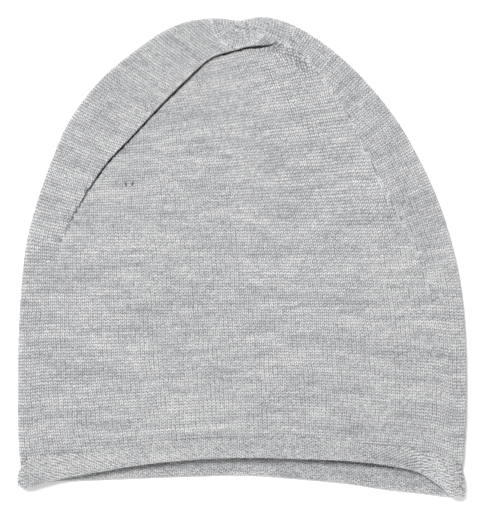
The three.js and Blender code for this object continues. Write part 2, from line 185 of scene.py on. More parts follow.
# The section across the crease, from the panel to the flap. Each row gives how far across it
# lies in millimetres where the fold has faded, where it is a steep step, and where the cloth
# is tucked down into a groove, and its height there as a share of the lift.
FOLD_SECTION = [
    # faded, steep, tucked, height of the step, height of the groove
    (-5.4, -5.5, -6.6, -0.02, 0.00),
    (-4.5, -3.8, -4.4, -0.03, 0.02),
    (-3.6, -2.4, -2.9, -0.04, -0.03),
    (-2.8, -1.5, -2.0, -0.12, -0.13),
    (-2.1, -1.05, -1.5, -0.30, -0.38),
    (-1.5, -0.8, -1.28, -0.50, -0.72),
    (-0.9, -0.55, -1.15, -0.62, -1.05),
    (-0.3, -0.3, -0.9, -0.62, -1.15),
    (0.3, -0.1, -0.5, -0.40, -1.05),
    (0.9, 0.0, -0.2, -0.05, -0.60),
    (1.5, 0.05, -0.08, 0.30, -0.10),
    (2.1, 0.1, -0.02, 0.60, 0.42),
    (2.8, 0.4, 0.08, 0.86, 0.84),
    (3.6, 1.4, 0.8, 0.99, 1.04),
    (4.5, 3.4, 2.8, 1.02, 1.05),
    (5.4, 5.5, 5.6, 1.00, 1.00),
]
STEEP_LIFT = 1.6 * MM
TUCKED_LIFT = 3.4 * MM
FLAP_FALL = 1.3
PANEL_DIP_POWER = 4
FOLD_ROOM = 13 * MM
FOLD_NARROWEST = 0.2
FOLD_END_SHARE = 0.08
# The panel's edge of the groove is uneven, stitch by stitch
CREASE_WOBBLE = 0.45 * MM
WOBBLE_SEED = 5
WOBBLE_STARTS = (-4.4 * MM, -1.5 * MM)
WOBBLE_ENDS = (-0.9 * MM, -0.2 * MM)
LEFT_SHOULDER = (-107.9, 8.5)
RIGHT_SHOULDER = (40, 107.5)

# The open edge: x, then the roll's upper and lower edge on the front and on the back layer
OPEN_EDGE = [
    (-106.5, -102.5, -115.4, -102.5, -115.4),
    (-97, -100, -112.5, -103.4, -113.2),
    (-85, -99.3, -109.7, -103, -112.3),
    (-73, -98.2, -107.5, -102.4, -111.8),
    (-57.5, -96, -104.6, -101.8, -111.2),
    (-25.5, -92, -101, -100.6, -110),
    (3, -90.5, -99.8, -100.1, -109.6),
    (30.5, -91, -100.5, -101.8, -111.6),
    (54.5, -93.4, -101.7, -104.2, -114),
    (74, -95.7, -104.2, -106, -117),
    (90, -97.9, -108.5, -106, -118.7),
    (98, -100, -114, -105, -119.8),
    (105, -104, -120.4, -104, -120.4),
]
OPEN_EDGE_COLUMNS = ("x", "front_top", "front_bottom", "back_top", "back_bottom")
open_edge_table = dict(zip(OPEN_EDGE_COLUMNS, np.array(OPEN_EDGE).T * MM))
print("outline rows", len(OUTLINE), "crease rows", len(CREASE))


# %% Smooth lines through the tables
LINE_SAMPLES = 1500
# A line is first sampled this much more densely, and then spaced evenly
DENSER = 4


def smooth_between(knots, values, at):
    """The values of a table between its rows, on a smooth line through every row."""
    slopes = np.gradient(values, knots, axis=0)
    row = np.clip(np.searchsorted(knots, at, side="right") - 1, 0, len(knots) - 2)
    span = knots[row + 1] - knots[row]
    u = np.clip((at - knots[row]) / span, 0, 1)
    if values.ndim > 1:
        u = u[..., None]
        span = span[..., None]
    start = (1 + 2 * u) * (1 - u) ** 2 * values[row]
    end = u * u * (3 - 2 * u) * values[row + 1]
    bend = u * (1 - u) * span * ((1 - u) * slopes[row] - u * slopes[row + 1])
    return start + end + bend


def line_through(rows, samples=LINE_SAMPLES):
    """A smooth line through the rows of a table, as evenly spaced places in metres."""
    rows = np.array(rows, float) * MM
    steps = np.linalg.norm(np.diff(rows[:, :2], axis=0), axis=1)
    knots = np.concatenate([[0], np.cumsum(np.sqrt(steps))])
    dense = smooth_between(knots, rows, np.linspace(0, knots[-1], samples * DENSER))
    run = np.concatenate([[0], np.cumsum(np.linalg.norm(np.diff(dense[:, :2], axis=0), axis=1))])
    even = np.linspace(0, run[-1], samples)
    return np.column_stack([np.interp(even, run, column) for column in dense.T])


def along(line, share):
    """The places at a share of the line's length."""
    at = np.linspace(0, 1, len(line))
    return np.stack([np.interp(share, at, column) for column in line.T], axis=-1)


def left_of(line, share):
    """The way to the left of the line, seen from above."""
    way = along(np.gradient(line[:, :2], axis=0), share)
    way /= np.linalg.norm(way, axis=-1, keepdims=True)
    return np.stack([-way[..., 1], way[..., 0]], axis=-1)


def ease(value, low, high):
    """0 below low, 1 above high, and a smooth change between them."""
    u = np.clip((value - low) / (high - low), 0, 1)
    return u * u * (3 - 2 * u)


def mix(a, b, share):
    """a where share is 0 and b where it is 1."""
    return a + (b - a) * share


outline = line_through(OUTLINE)
crease = line_through(CREASE)
outline_length = np.linalg.norm(np.diff(outline, axis=0), axis=1).sum()
print("outline length in mm", round(outline_length / MM))


# %% The open edge, the back layer and the side fold
def open_edge(x, column):
    """One column of the open edge's table at any x."""
    return smooth_between(open_edge_table["x"], open_edge_table[column], np.asarray(x))


def back_height(x, y):
    """The underside of the back layer, which steps up over its own roll near the edge."""
    above_roll = y - open_edge(x, "back_top") - GAP
    return (ROLL_THICKNESS - WALL) * (1 - ease(above_roll, 0, BACK_STEP_REACH))


def side_fold(share, angle):
    """Places on the round side fold: angle 0 is its top and half a turn is its foot."""
    edge = along(outline, share)
    outward = left_of(outline, share)
    foot = back_height(edge[:, 0], edge[:, 1])
    radius = (EDGE_TOP - foot) / 2
    across = edge - outward * (radius * (1 - np.sin(angle)))[:, None]
    return np.column_stack([across, foot + radius * (1 + np.cos(angle))])


def nearest_share(place):
    """Where on the outline a place given in millimetres lies."""
    gaps = np.linalg.norm(outline - np.array(place[:2]) * MM, axis=1)
    return gaps.argmin() / (len(outline) - 1)


BOUNDARY_STEPS = 240
boundary = side_fold(np.linspace(0, 1, BOUNDARY_STEPS + 1), 0)[:, :2]


def distance_to(line, places):
    """How far places are from a line seen from above, and at which share of it."""
    flat = places.reshape(-1, 2)
    nearest = np.full(len(flat), np.inf)
    share = np.zeros(len(flat))
    for i, (start, end) in enumerate(zip(line[:-1], line[1:])):
        step = end - start
        u = np.clip((flat - start) @ step / (step @ step), 0, 1)
        gap = np.linalg.norm(flat - start - u[:, None] * step, axis=1)
        share = np.where(gap < nearest, (i + u) / (len(line) - 1), share)
        nearest = np.minimum(nearest, gap)
    return nearest.reshape(places.shape[:-1]), share.reshape(places.shape[:-1])


print("points along the front layer's edge", len(boundary))


# %% [markdown]
# ## The height of the front layer
#
# A hat that lies flat isn't level. It swells softly towards its middle, and its cloth keeps
# small memories: a long valley runs down the upper right, pleats run out from the point where
# the crown is drawn together, and soft swells cross the whole front. Each is a small amount
# added to one height, so each can be changed by itself. Sculpting by hand could do the same,
# but then no number could be changed later.

# %% Soft relief of the front layer
GATHER = np.array([-1.0, 118.0]) * MM
PLEATS = {"count": 14, "depth": 1.5 * MM, "inner": 2 * MM, "outer": 16 * MM}
PLEAT_EDGE = 3 * MM
SOFT_LINE_SAMPLES = 40
# The share of its length over which a valley or ridge fades at each end
SOFT_LINE_FADE = 0.25
# The relief grows from nothing at the hat's edge to its full height at this share of the slope
RELIEF_START = 0.12

VALLEYS = [
    # places in millimetres, depth, half width
    ([(1, 100), (10, 96), (19.5, 84), (25.5, 74), (34.5, 63), (44, 49), (50, 40), (58, 30)], 2.0, 3.0),
    ([(2, 104), (11, 106), (17, 104.3), (22, 101.5), (27.5, 99), (32, 94), (36, 88)], 4.2, 2.3),
    ([(-36, 66), (-22, 80), (-8, 90), (6, 95)], 0.35, 5.0),
]
RIDGES = [
    ([(20, 95), (28, 83), (37, 69), (47, 56), (57, 43), (65, 32)], 0.8, 4.0),
]
SWELLS = [
    # wave along x, wave along y in millimetres, turn, height
    (74, 118, 0.4, 0.35),
    (133, -61, 1.9, 0.3),
    (49, 88, 3.1, 0.18),
    (-57, 39, 5.0, 0.12),
]


def soft_line(places, rows, height, half_width):
    """A soft dent or bulge along a line."""
    middle = line_through(rows, SOFT_LINE_SAMPLES)
    gap, share = distance_to(middle, places)
    fade = ease(share, 0, SOFT_LINE_FADE) * (1 - ease(share, 1 - SOFT_LINE_FADE, 1))
    return height * MM * np.exp(-((gap / (half_width * MM)) ** 2)) * fade


def relief(places, inward):
    """What the cloth's small memories add to its height."""
    x = places[..., 0]
    y = places[..., 1]
    total = np.zeros(x.shape)
    for rows, depth, half_width in VALLEYS:
        total -= soft_line(places, rows, depth, half_width)
    for rows, height, half_width in RIDGES:
        total += soft_line(places, rows, height, half_width)
    for wave_x, wave_y, turn, height in SWELLS:
        phase = 2 * np.pi * (x / (wave_x * MM) + y / (wave_y * MM)) + turn
        total += height * MM * np.sin(phase) * inward
    return total


def pleats(places):
    """How deep the pleats are that run out from the point where the crown is drawn in."""
    from_gather = places - GATHER
    reach = np.linalg.norm(from_gather, axis=-1)
    turn = np.arctan2(from_gather[..., 0], -from_gather[..., 1])
    window = ease(reach, 0, PLEATS["inner"]) * (1 - ease(reach, PLEATS["inner"], PLEATS["outer"]))
    return PLEATS["depth"] * window * (0.5 - 0.5 * np.cos(PLEATS["count"] * turn)) ** 2


def front_height(places):
    """The height of the front layer's outer face, without the folded flap."""
    from_edge = distance_to(boundary, places)[0]
    inward = np.minimum(from_edge / SLOPE_REACH, 1)
    swell = np.sin(inward * np.pi / 2) ** SWELL_POWER
    above_hem = places[..., 1] - open_edge(places[..., 0], "front_top") - GAP
    rise = mix(MOUTH_RISE, 1, ease(above_hem, 0, MOUTH_SLOPE_REACH))
    top = EDGE_TOP + (MIDDLE_TOP - EDGE_TOP) * swell * rise
    near_edge = ease(inward, 0, RELIEF_START)
    return top + relief(places, swell) * near_edge - pleats(places) * ease(from_edge, 0, PLEAT_EDGE)


print("valleys", len(VALLEYS), "ridges", len(RIDGES), "swells", len(SWELLS))


# %% [markdown]
# ## The front layer as a grid
#
# The front layer is a grid of rows and columns. Its lower rows run from the open edge up to
# the crease, the next rows go down into the crease's groove and up over the flap's edge, and
# the last rows cross the flap to the crown. A patch between four lines fills each stretch.
# A remeshed surface would round the crease off, where rows that lie close together keep it.

# %% Rows, columns and patches
COLUMNS = 130
PANEL_ROWS = 84
FOLD_ROWS = 26
FLAP_ROWS = 22

column_shares = np.linspace(0, 1, COLUMNS + 1)
left_shoulder = nearest_share(LEFT_SHOULDER)
right_shoulder = nearest_share(RIGHT_SHOULDER)
crease_left = nearest_share(CREASE[0])
crease_right = nearest_share(CREASE[-1])


def front_edge(share):
    """The front layer's edge, seen from above, where the side fold begins."""
    return side_fold(np.atleast_1d(share), 0)[:, :2]


def patch(low, high, left, right):
    """A grid between two lines and the two sides that join their ends."""
    s = np.linspace(0, 1, len(low))[None, :, None]
    v = np.linspace(0, 1, len(left))[:, None, None]
    between = mix(low[None], high[None], v)
    left_pull = left[:, None] - mix(left[0], left[-1], v)
    right_pull = right[:, None] - mix(right[0], right[-1], v)
    return between + (1 - s) * left_pull + s * right_pull


print("columns", COLUMNS, "rows of panel, fold and flap", PANEL_ROWS, FOLD_ROWS, FLAP_ROWS)


# %% The lines of the fold
def fold_ends(across):
    """Where a line of the fold ends on the outline, left and right."""
    return crease_left + across / outline_length, crease_right - across / outline_length


crease_points = along(crease, column_shares)
crease_middle = crease_points[:, :2]
lift = crease_points[:, 2]
groove_width = crease_points[:, 3] / MM
towards_flap = left_of(crease, column_shares)
fold_room = np.clip(distance_to(boundary, crease_middle)[0] / FOLD_ROOM, FOLD_NARROWEST, 1)
steepness = ease(lift, 0, STEEP_LIFT)
tuck = ease(lift, STEEP_LIFT, TUCKED_LIFT)
wobble = CREASE_WOBBLE * np.random.default_rng(WOBBLE_SEED).uniform(-1, 1, COLUMNS + 1)


def fold_line(faded, steep, tucked):
    """One line of the crease's section, which ends on the side folds."""
    uneven = wobble * ease(tucked, *WOBBLE_STARTS) * (1 - ease(tucked, *WOBBLE_ENDS))
    groove = tucked * groove_width + uneven
    across = mix(mix(faded, steep, steepness), groove, tuck) * fold_room
    inside = crease_middle + towards_flap * across[:, None]
    left_end, right_end = (front_edge(share)[0] for share in fold_ends(faded))
    s = column_shares[:, None]
    line = mix(left_end - crease_middle[0] + crease_middle, inside, ease(s, 0, FOLD_END_SHARE))
    return mix(right_end - crease_middle[-1] + crease_middle, line, ease(1 - s, 0, FOLD_END_SHARE))


section_table = np.array(FOLD_SECTION)
section_knots = np.arange(len(FOLD_SECTION), dtype=float)
section = smooth_between(section_knots, section_table, np.linspace(0, section_knots[-1], FOLD_ROWS))
fold_lines = np.array([fold_line(*(row[:3] * MM)) for row in section])
fold_heights = np.array([mix(row[3], row[4], tuck) for row in section])
print("fold lines", len(fold_lines))

# %% Panel, fold and flap as one grid
foot_ends = fold_ends(section[0, 0] * MM)
top_ends = fold_ends(section[-1, 0] * MM)

hem_ends = front_edge([0, 1])
hem_x = mix(hem_ends[0, 0], hem_ends[1, 0], column_shares)
hem = np.column_stack([hem_x, open_edge(hem_x, "front_top") + GAP])
hem[[0, -1]] = hem_ends

panel_v = np.linspace(0, 1, PANEL_ROWS + 1)
panel_left = foot_ends[0] * panel_v
panel_right = mix(1, foot_ends[1], panel_v)
panel = patch(hem, fold_lines[0], front_edge(panel_left), front_edge(panel_right))

flap_v = np.linspace(0, 1, FLAP_ROWS + 1)
flap_left = mix(top_ends[0], left_shoulder, flap_v)
flap_right = mix(top_ends[1], right_shoulder, flap_v)
crown = front_edge(mix(left_shoulder, right_shoulder, column_shares))
flap = patch(fold_lines[-1], crown, front_edge(flap_left), front_edge(flap_right))

fold_left, fold_right = fold_ends(section[:, 0] * MM)
front_flat = np.concatenate([panel[:-1], fold_lines, flap[1:]])
left_shares = np.concatenate([panel_left[:-1], fold_left, flap_left[1:]])
right_shares = np.concatenate([panel_right[:-1], fold_right, flap_right[1:]])
lift_shares = np.concatenate(
    [
        fold_heights[0] * panel_v[:-1, None] ** PANEL_DIP_POWER,
        fold_heights,
        fold_heights[-1] * (1 - flap_v[1:, None]) ** FLAP_FALL,
    ]
)
front = np.dstack([front_flat, front_height(front_flat) + lift_shares * lift])
front[-1, :, 2] = EDGE_TOP
front[:, [0, -1], 2] = EDGE_TOP
ROWS = len(front) - 1
print("front grid", front.shape[:2], "top in mm", round(front[..., 2].max() / MM, 2))

# %% [markdown]
# ## The whole outer face
#
# The front layer's edge runs up the left side, over the crown and down the right side. The
# side fold is a few rings that start from this edge and turn half a turn under it. The back
# layer is a second grid with the same edge. Together they are the outer face of the hat,
# which is open only at the hem. A flat sheet made thick would have a square rim instead, and
# this edge is a round fold of the cloth.

# %% Rings of the side fold and the back layer
SIDE_STEPS = 8

edge_shares = np.concatenate(
    [left_shares, mix(left_shoulder, right_shoulder, column_shares[1:-1]), right_shares[::-1]]
)
rings = [side_fold(edge_shares, np.pi * k / SIDE_STEPS) for k in range(1, SIDE_STEPS + 1)]

back_left = rings[-1][: ROWS + 1]
back_top = rings[-1][ROWS : ROWS + COLUMNS + 1]
back_right = rings[-1][ROWS + COLUMNS :][::-1]
back_hem_x = mix(back_left[0, 0], back_right[0, 0], column_shares)
back_hem = np.column_stack([back_hem_x, open_edge(back_hem_x, "back_top") + GAP])
back_hem[[0, -1]] = back_left[0, :2], back_right[0, :2]
back_flat = patch(back_hem, back_top[:, :2], back_left[:, :2], back_right[:, :2])
back = np.dstack([back_flat, back_height(back_flat[..., 0], back_flat[..., 1])])
back[:, 0] = back_left
back[:, -1] = back_right
back[-1] = back_top
print("side rings", len(rings), "back grid", back.shape[:2])

# %% One mesh of the outer face
front_index = np.arange(front.shape[0] * front.shape[1]).reshape(front.shape[:2])
edge_index = np.concatenate(
    [front_index[:, 0], front_index[-1, 1:-1], front_index[::-1, -1]]
)
ring_index = [edge_index]
points = [front.reshape(-1, 3)]
count = front_index.size
for ring in rings:
    ring_index.append(np.arange(count, count + len(ring)))
    points.append(ring)
    count += len(ring)

back_index = np.zeros_like(front_index)
back_index[:, 0] = ring_index[-1][: ROWS + 1]
back_index[-1] = ring_index[-1][ROWS : ROWS + COLUMNS + 1]
back_index[:, -1] = ring_index[-1][ROWS + COLUMNS :][::-1]
inside_back = back[:-1, 1:-1].reshape(-1, 3)
back_index[:-1, 1:-1] = np.arange(count, count + len(inside_back)).reshape(ROWS, COLUMNS - 1)
points.append(inside_back)
points = np.concatenate(points)


def cell_corners(grid):
    """The four corners of each cell of a grid, in turn."""
    return np.stack([grid[:-1, :-1], grid[:-1, 1:], grid[1:, 1:], grid[1:, :-1]], axis=2)


def grid_quads(index):
    """The faces of a grid of points, facing up where its rows run towards +Y."""
    return cell_corners(index).reshape(-1, 4)


front_quads = grid_quads(front_index)
ring_quads = grid_quads(np.array(ring_index))
back_quads = grid_quads(back_index)[:, ::-1]
body_quads = np.concatenate([front_quads, ring_quads, back_quads])


def facings(points, quads):
    """The way that the surface faces at each point."""
    corners = points[quads]
    spread = np.cross(corners[:, 2] - corners[:, 0], corners[:, 3] - corners[:, 1])
    total = np.zeros_like(points)
    for k in range(4):
        np.add.at(total, quads[:, k], spread)
    return total / np.linalg.norm(total, axis=1, keepdims=True)


body_facings = facings(points, body_quads)
print("outer face", len(points), "points", len(body_quads), "faces")

# %% [markdown]
# ## The rolled edge
#
# Stocking stitch curls towards its knit side, so the hem rolls up over the outside and shows
# its purl side. The roll is the same cloth running on: a line of sections goes down from the
# hem, turns outwards, comes back up on top and slopes down until it lies on the hat again.
# One section is given as a short table for the cloth's middle, and it is fitted to the roll's
# width at each place of the ring. At the hat's two sides the roll is thinner and rounder.
# A plain tube would be quicker, but from the side it would look like a cord and not like
# cloth that has curled.

# %% The section of the roll
# Across the roll and out from the hat, both as a share of the room between the cloth's middles
ROLL_SECTION = [
    (1.20, -1.00), (0.85, -1.00), (0.45, -1.00), (0.00, -1.00), (-0.45, -0.98),
    (-0.78, -0.80), (-0.96, -0.38), (-1.00, 0.10), (-0.90, 0.56), (-0.64, 0.88),
    (-0.30, 1.00), (0.04, 0.92), (0.36, 0.70), (0.64, 0.36), (0.86, -0.02),
    (1.00, -0.42), (1.06, -0.80),
]
SECTION_STEPS = 30
OVER_BODY = 1.2 * MM
SIDE_ROUNDING = 0.6 * MM
SIDE_DROP = 5.4 * MM
SIDE_THICKNESS = 2.7 * MM

cloth = WALL - KNIT_PROUD - PURL_PROUD
half_cloth = cloth / 2 + PURL_PROUD

roll_table = np.array(ROLL_SECTION)
roll_knots = np.arange(len(roll_table), dtype=float)
roll_path = smooth_between(roll_knots, roll_table, np.linspace(0, roll_knots[-1], SECTION_STEPS + 1))
print("points of the roll's section", len(roll_path))

# %% The ring of the hem
hem_index = np.concatenate(
    [
        front_index[0],
        [ring[-1] for ring in ring_index[1:-1]],
        back_index[0, ::-1],
        [ring[0] for ring in ring_index[-2:0:-1]],
    ]
)
hem_points = points[hem_index]
side_turn = (1 + np.cos(np.pi * np.arange(1, SIDE_STEPS) / SIDE_STEPS)) / 2
on_front = np.concatenate(
    [np.ones(COLUMNS + 1), side_turn, np.zeros(COLUMNS + 1), side_turn[::-1]]
)
roll_top = mix(open_edge(hem_points[:, 0], "back_top"), open_edge(hem_points[:, 0], "front_top"), on_front)
roll_bottom = mix(
    open_edge(hem_points[:, 0], "back_bottom"), open_edge(hem_points[:, 0], "front_bottom"), on_front
)
at_side = 2 * np.sqrt(on_front * (1 - on_front))
roll_bottom += SIDE_ROUNDING * at_side
roll_top += OVER_BODY - SIDE_DROP * at_side
roll_thickness = mix(ROLL_THICKNESS, SIDE_THICKNESS, at_side)[:, None]
ring_way = np.roll(hem_points, -1, axis=0) - np.roll(hem_points, 1, axis=0)
ring_way[:, 1] = 0
ring_way /= np.linalg.norm(ring_way, axis=1, keepdims=True)
ring_outward = np.column_stack([-ring_way[:, 2], np.zeros(len(ring_way)), ring_way[:, 0]])
print("hem points", len(hem_points))

# %% The roll on the hem
across_room = (roll_top - roll_bottom) / 2 - half_cloth
out_room = roll_thickness / 2 - half_cloth
path_across = (roll_top + roll_bottom)[:, None] / 2 + roll_path[:, 0] * across_room[:, None]
path_out = roll_thickness / 2 + roll_path[:, 1] * out_room
slope_across = np.gradient(path_across, axis=1)
slope_out = np.gradient(path_out, axis=1)
slope_length = np.hypot(slope_across, slope_out)
face_across = slope_out / slope_length
face_out = -slope_across / slope_length
path_run = np.cumsum(slope_length, axis=1) - slope_length[:, :1]

hem_inner = hem_points - ring_outward * WALL
hem_inner[:, 1] = 0


def roll_surface(offset):
    """The roll's cloth at some distance from its middle, towards its knit side."""
    y = path_across + face_across * offset
    out = path_out + face_out * offset
    places = hem_inner[:, None] + ring_outward[:, None] * out[..., None]
    places[..., 1] = y
    return places


roll_knit = roll_surface(cloth / 2)[:, 1:]
roll_purl = roll_surface(-cloth / 2)[:, 1:]
roll_index = np.column_stack(
    [hem_index, len(points) + np.arange(roll_knit[..., 0].size).reshape(roll_knit.shape[:2])]
)
closed_index = np.concatenate([roll_index, roll_index[:1]])
roll_quads = grid_quads(closed_index)
print("roll sections", len(roll_index), "steps", SECTION_STEPS)

# %% The closed shell of the cloth
knit_points = np.concatenate([points - body_facings * KNIT_PROUD, roll_knit.reshape(-1, 3)])
purl_depth = WALL - PURL_PROUD
purl_points = np.concatenate([points - body_facings * purl_depth, roll_purl.reshape(-1, 3)])
knit_quads = np.concatenate([body_quads, roll_quads])
purl_quads = knit_quads[:, ::-1]
free_edge = closed_index[:, -1]
edge_strip = np.column_stack(
    [free_edge[:-1], free_edge[:-1] + len(knit_points), free_edge[1:] + len(knit_points), free_edge[1:]]
)
strip_ends = np.column_stack([np.arange(len(edge_strip)), np.arange(len(edge_strip)) + 1])
print("shell triangles", 2 * (2 * len(knit_quads) + len(edge_strip)))

# %% [markdown]
# ## Counting the stitches
#
# A knitted cloth has its own grid: wales are the columns of stitches and courses are the rows.
# Every face of the cloth gets its place in that grid as a UV map, counted in whole stitches,
# and both the colour and the stitches follow it. The wales run nearly straight up the panel
# and lean to the left towards the crown. On the flap they all bend to the right, at the upper
# right they follow the side fold, where decreases end the panel's wales, and round the gather
# they run together in rings, each with fewer wales than the one outside it. The outermost ring
# is only to the right of the gather, because on the left the flap's own wales point to it.
#
# An automatic unwrap would cut the cloth in places that no knitter knows. This map is worked
# out from the wales, so most of its cuts lie along decreases or in the crease.

# %% The tables of the wales
WALE = 2.1 * MM
COURSE = 1.47 * MM

# Where seven wales of the panel run. WALE_COUNT is where they are at a height of -40, and
# each row gives the height and then the x of all seven there, in millimetres.
WALE_COUNT = (-112, -75, -35, 0, 35, 75, 112)
WALE_LINES = [
    (-100, -110.6, -68.9, -30.6, 2.6, 37.5, 73.2, 110.5),
    (-80, -112.0, -72.3, -32.2, 2.0, 37.5, 76.0, 112.2),
    (-60, -112.4, -73.9, -33.7, 1.1, 36.8, 76.3, 112.4),
    (-40, -112.0, -75.0, -35.0, 0.0, 35.0, 75.0, 112.0),
    (-10, -110.0, -75.6, -36.5, -1.2, 32.0, 70.5, 109.0),
    (20, -106.0, -77.0, -39.8, -3.9, 26.0, 63.0, 101.0),
    (50, -104.0, -77.0, -42.8, -9.3, 17.6, 54.0, 88.0),
    (80, -102.0, -76.0, -42.0, -20.0, 6.8, 48.0, 68.5),
    (105, -100.0, -75.0, -41.0, -32.0, -3.0, 44.0, 50.0),
]

# How far to the right all the flap's wales have bent at each height, in millimetres
FLAP_WALES = [
    # height, bend
    (-15, 0), (5, 1.3), (25, 5.7), (45, 12.3), (65, 20.9), (85, 31.7), (105, 46.3), (120, 60),
]
FLAP_MIDDLE = -90 * MM
FLAP_FOOT = (-15 * MM, 15 * MM)
FLAP_RIGHT_END = 16 * MM

# The line of decreases on the right: x and y in millimetres
DECREASE_LINE = [(95, -21.5), (91, -3.5), (79, 20), (66, 43), (53.5, 70), (42, 87), (29, 101), (16, 110)]
WEDGE_FOOT = (-21.5 * MM, 20 * MM)

# The rings of wales round the gather
GATHER_RINGS = [
    # inner and outer reach in millimetres, turn from wale to wale, place in the count
    (0, 5, 0.42, 700),
    (5, 14, 0.15, 750),
    (14, 27, 0.075, 820),
]

# How many wales each region is moved along, so that no two share a place in the map
PANEL_OFFSET = 0
FLAP_OFFSET = -500
WEDGE_OFFSET = 500
BACK_OFFSET = 1200
print("wale lines", len(WALE_COUNT), "gather rings", len(GATHER_RINGS))

# %% Values of the knitting's own grid
HEM_LEVEL = -96 * MM
HEM_FOLLOW = 0.6
HEM_FOLLOW_TOP = 0 * MM
COURSE_TILT = 2.5
TILT_START = 15 * MM

left_edge_x = boundary[0, 0]
right_edge_x = boundary[-1, 0]
wale_heights, wale_lines = np.split(np.array(WALE_LINES) * MM, [1], axis=1)
wale_count = np.array(WALE_COUNT) * MM

flap_middle = line_through([(FLAP_MIDDLE / MM + bend, height) for height, bend in FLAP_WALES])
flap_steps = np.gradient(flap_middle, axis=0)
flap_lean = flap_steps[:, 0] / np.linalg.norm(flap_steps, axis=1)
flap_run = flap_middle[0, 1] + np.cumsum(np.linalg.norm(flap_steps, axis=1))
print("flap's middle wale in mm", round((flap_run[-1] - flap_run[0]) / MM))


# %% The grid of each region
def hem_rise(x, y, column):
    """How far the courses follow the curve of the hem."""
    follow = HEM_FOLLOW * (1 - ease(y, HEM_LEVEL, HEM_FOLLOW_TOP))
    return (open_edge(x, column) - HEM_LEVEL) * follow


def panel_grid(places):
    """Wales and courses of the main panel, in metres."""
    x = places[..., 0]
    y = places[..., 1]
    lines = smooth_between(wale_heights[:, 0], wale_lines, y)
    wales = np.full(x.shape, wale_count[0])
    last = len(wale_count) - 2
    for k, step in enumerate(np.diff(wale_count)):
        share = (x - lines[..., k]) / (lines[..., k + 1] - lines[..., k])
        wales += step * np.clip(share, -np.inf if k == 0 else 0, np.inf if k == last else 1)
    tilt = COURSE_TILT * np.maximum(y - TILT_START, 0)
    return np.stack([wales, y - tilt * x - hem_rise(x, y, "front_top")], axis=-1)


def flap_grid(places):
    """Wales and courses of the flap, whose wales all bend to the right in the same way."""
    height = flap_middle[:, 1]
    off_middle = places[..., 0] - np.interp(places[..., 1], height, flap_middle[:, 0])
    run = np.interp(places[..., 1], height, flap_run)
    lean = np.interp(places[..., 1], height, flap_lean)
    return np.stack([FLAP_MIDDLE + off_middle, run + lean * off_middle], axis=-1)


def strip_grid(places, depth, share):
    """Wales and courses that follow the right side fold, in metres."""
    run = outline[-1, 1] + (1 - share) * outline_length
    courses = run - hem_rise(places[..., 0], places[..., 1], "front_top")
    return np.stack([right_edge_x - depth, courses], axis=-1)


def gather_grid(places, wale_turn):
    """Wales that run together at the point where the crown is drawn in."""
    away = places - GATHER
    turn = np.arctan2(away[..., 0], -away[..., 1])
    return np.stack([turn / wale_turn * WALE, -np.linalg.norm(away, axis=-1)], axis=-1)


def back_grid(places):
    """Wales and courses of the back layer, counted the other way across."""
    x = places[..., 0]
    y = places[..., 1]
    return np.stack([-x, y - hem_rise(x, y, "back_top")], axis=-1)


middle_place = panel_grid(np.zeros((1, 2)))[0]
print("the grid at the hat's middle in mm", (middle_place / MM).round(1))


# %% Lay the groove's cloth flat before counting
# Inside the groove the cloth stands upright, so its places there are unrolled across the crease
foot_row = PANEL_ROWS
top_row = PANEL_ROWS + FOLD_ROWS - 1
deep_row = foot_row + int(fold_heights.mean(axis=1).argmin())
flat_front = front[..., :2].copy()
fold_steps = np.linalg.norm(np.diff(front[foot_row : top_row + 1], axis=0), axis=2)
unrolled = steepness[:, None]
for row in range(foot_row + 1, deep_row + 1):
    run = fold_steps[: row - foot_row].sum(axis=0)
    flat = front[foot_row, :, :2] + towards_flap * run[:, None]
    flat_front[row] = mix(flat_front[row], flat, unrolled)
for row in range(deep_row + 1, top_row):
    run = fold_steps[row - foot_row :].sum(axis=0)
    flat = front[top_row, :, :2] - towards_flap * run[:, None]
    flat_front[row] = mix(flat_front[row], flat, unrolled)
print("most cloth across the crease in mm", (fold_steps.sum(axis=0).max() / MM).round(1))

# %% Lay the side fold flat too
# Its rings turn under the hat, so they are laid out beyond the front layer's edge
front_depth, front_share = distance_to(boundary, flat_front)
ring_radius = (EDGE_TOP - rings[-1][:, 2]) / 2
ring_start = front_edge(edge_shares)
side_outward = left_of(outline, edge_shares)
flat_rings = []
ring_depths = []
for k in range(SIDE_STEPS + 1):
    around = ring_radius * np.pi * k / SIDE_STEPS
    flat_rings.append(ring_start + side_outward * around[:, None])
    ring_depths.append(-around)

flat = np.concatenate([flat_front.reshape(-1, 2), *flat_rings])
flat_depth = np.concatenate([front_depth.ravel(), *ring_depths])
flat_share = np.concatenate([front_share.ravel(), np.tile(edge_shares, SIDE_STEPS + 1)])

edge_count = len(edge_index)
ring_cells = grid_quads(np.arange((SIDE_STEPS + 1) * edge_count).reshape(-1, edge_count))
flat_cells = np.concatenate([front_quads, ring_cells + front_index.size])
print("cells laid flat", len(flat_cells))

# %% Each region's grid at every point laid flat
on_panel = panel_grid(flat)
on_flap = mix(on_panel, flap_grid(flat), ease(flat[:, 1:], *FLAP_FOOT))
on_right = mix(on_panel, strip_grid(flat, flat_depth, flat_share), ease(flat[:, 1:], *WEDGE_FOOT))

decrease_line = np.array(DECREASE_LINE) * MM
cell_centres = flat[flat_cells].mean(axis=1)
gather_reach = np.linalg.norm(cell_centres - GATHER, axis=1)
past_decreases = cell_centres[:, 0] - np.interp(cell_centres[:, 1], *decrease_line.T[::-1])
front_rows = np.repeat(np.arange(ROWS), COLUMNS)
cell_share = flat_share[flat_cells[len(front_quads) :]].mean(axis=1)
above_crease = np.concatenate(
    [front_rows >= deep_row, (cell_share > crease_left) & (cell_share < crease_right)]
)


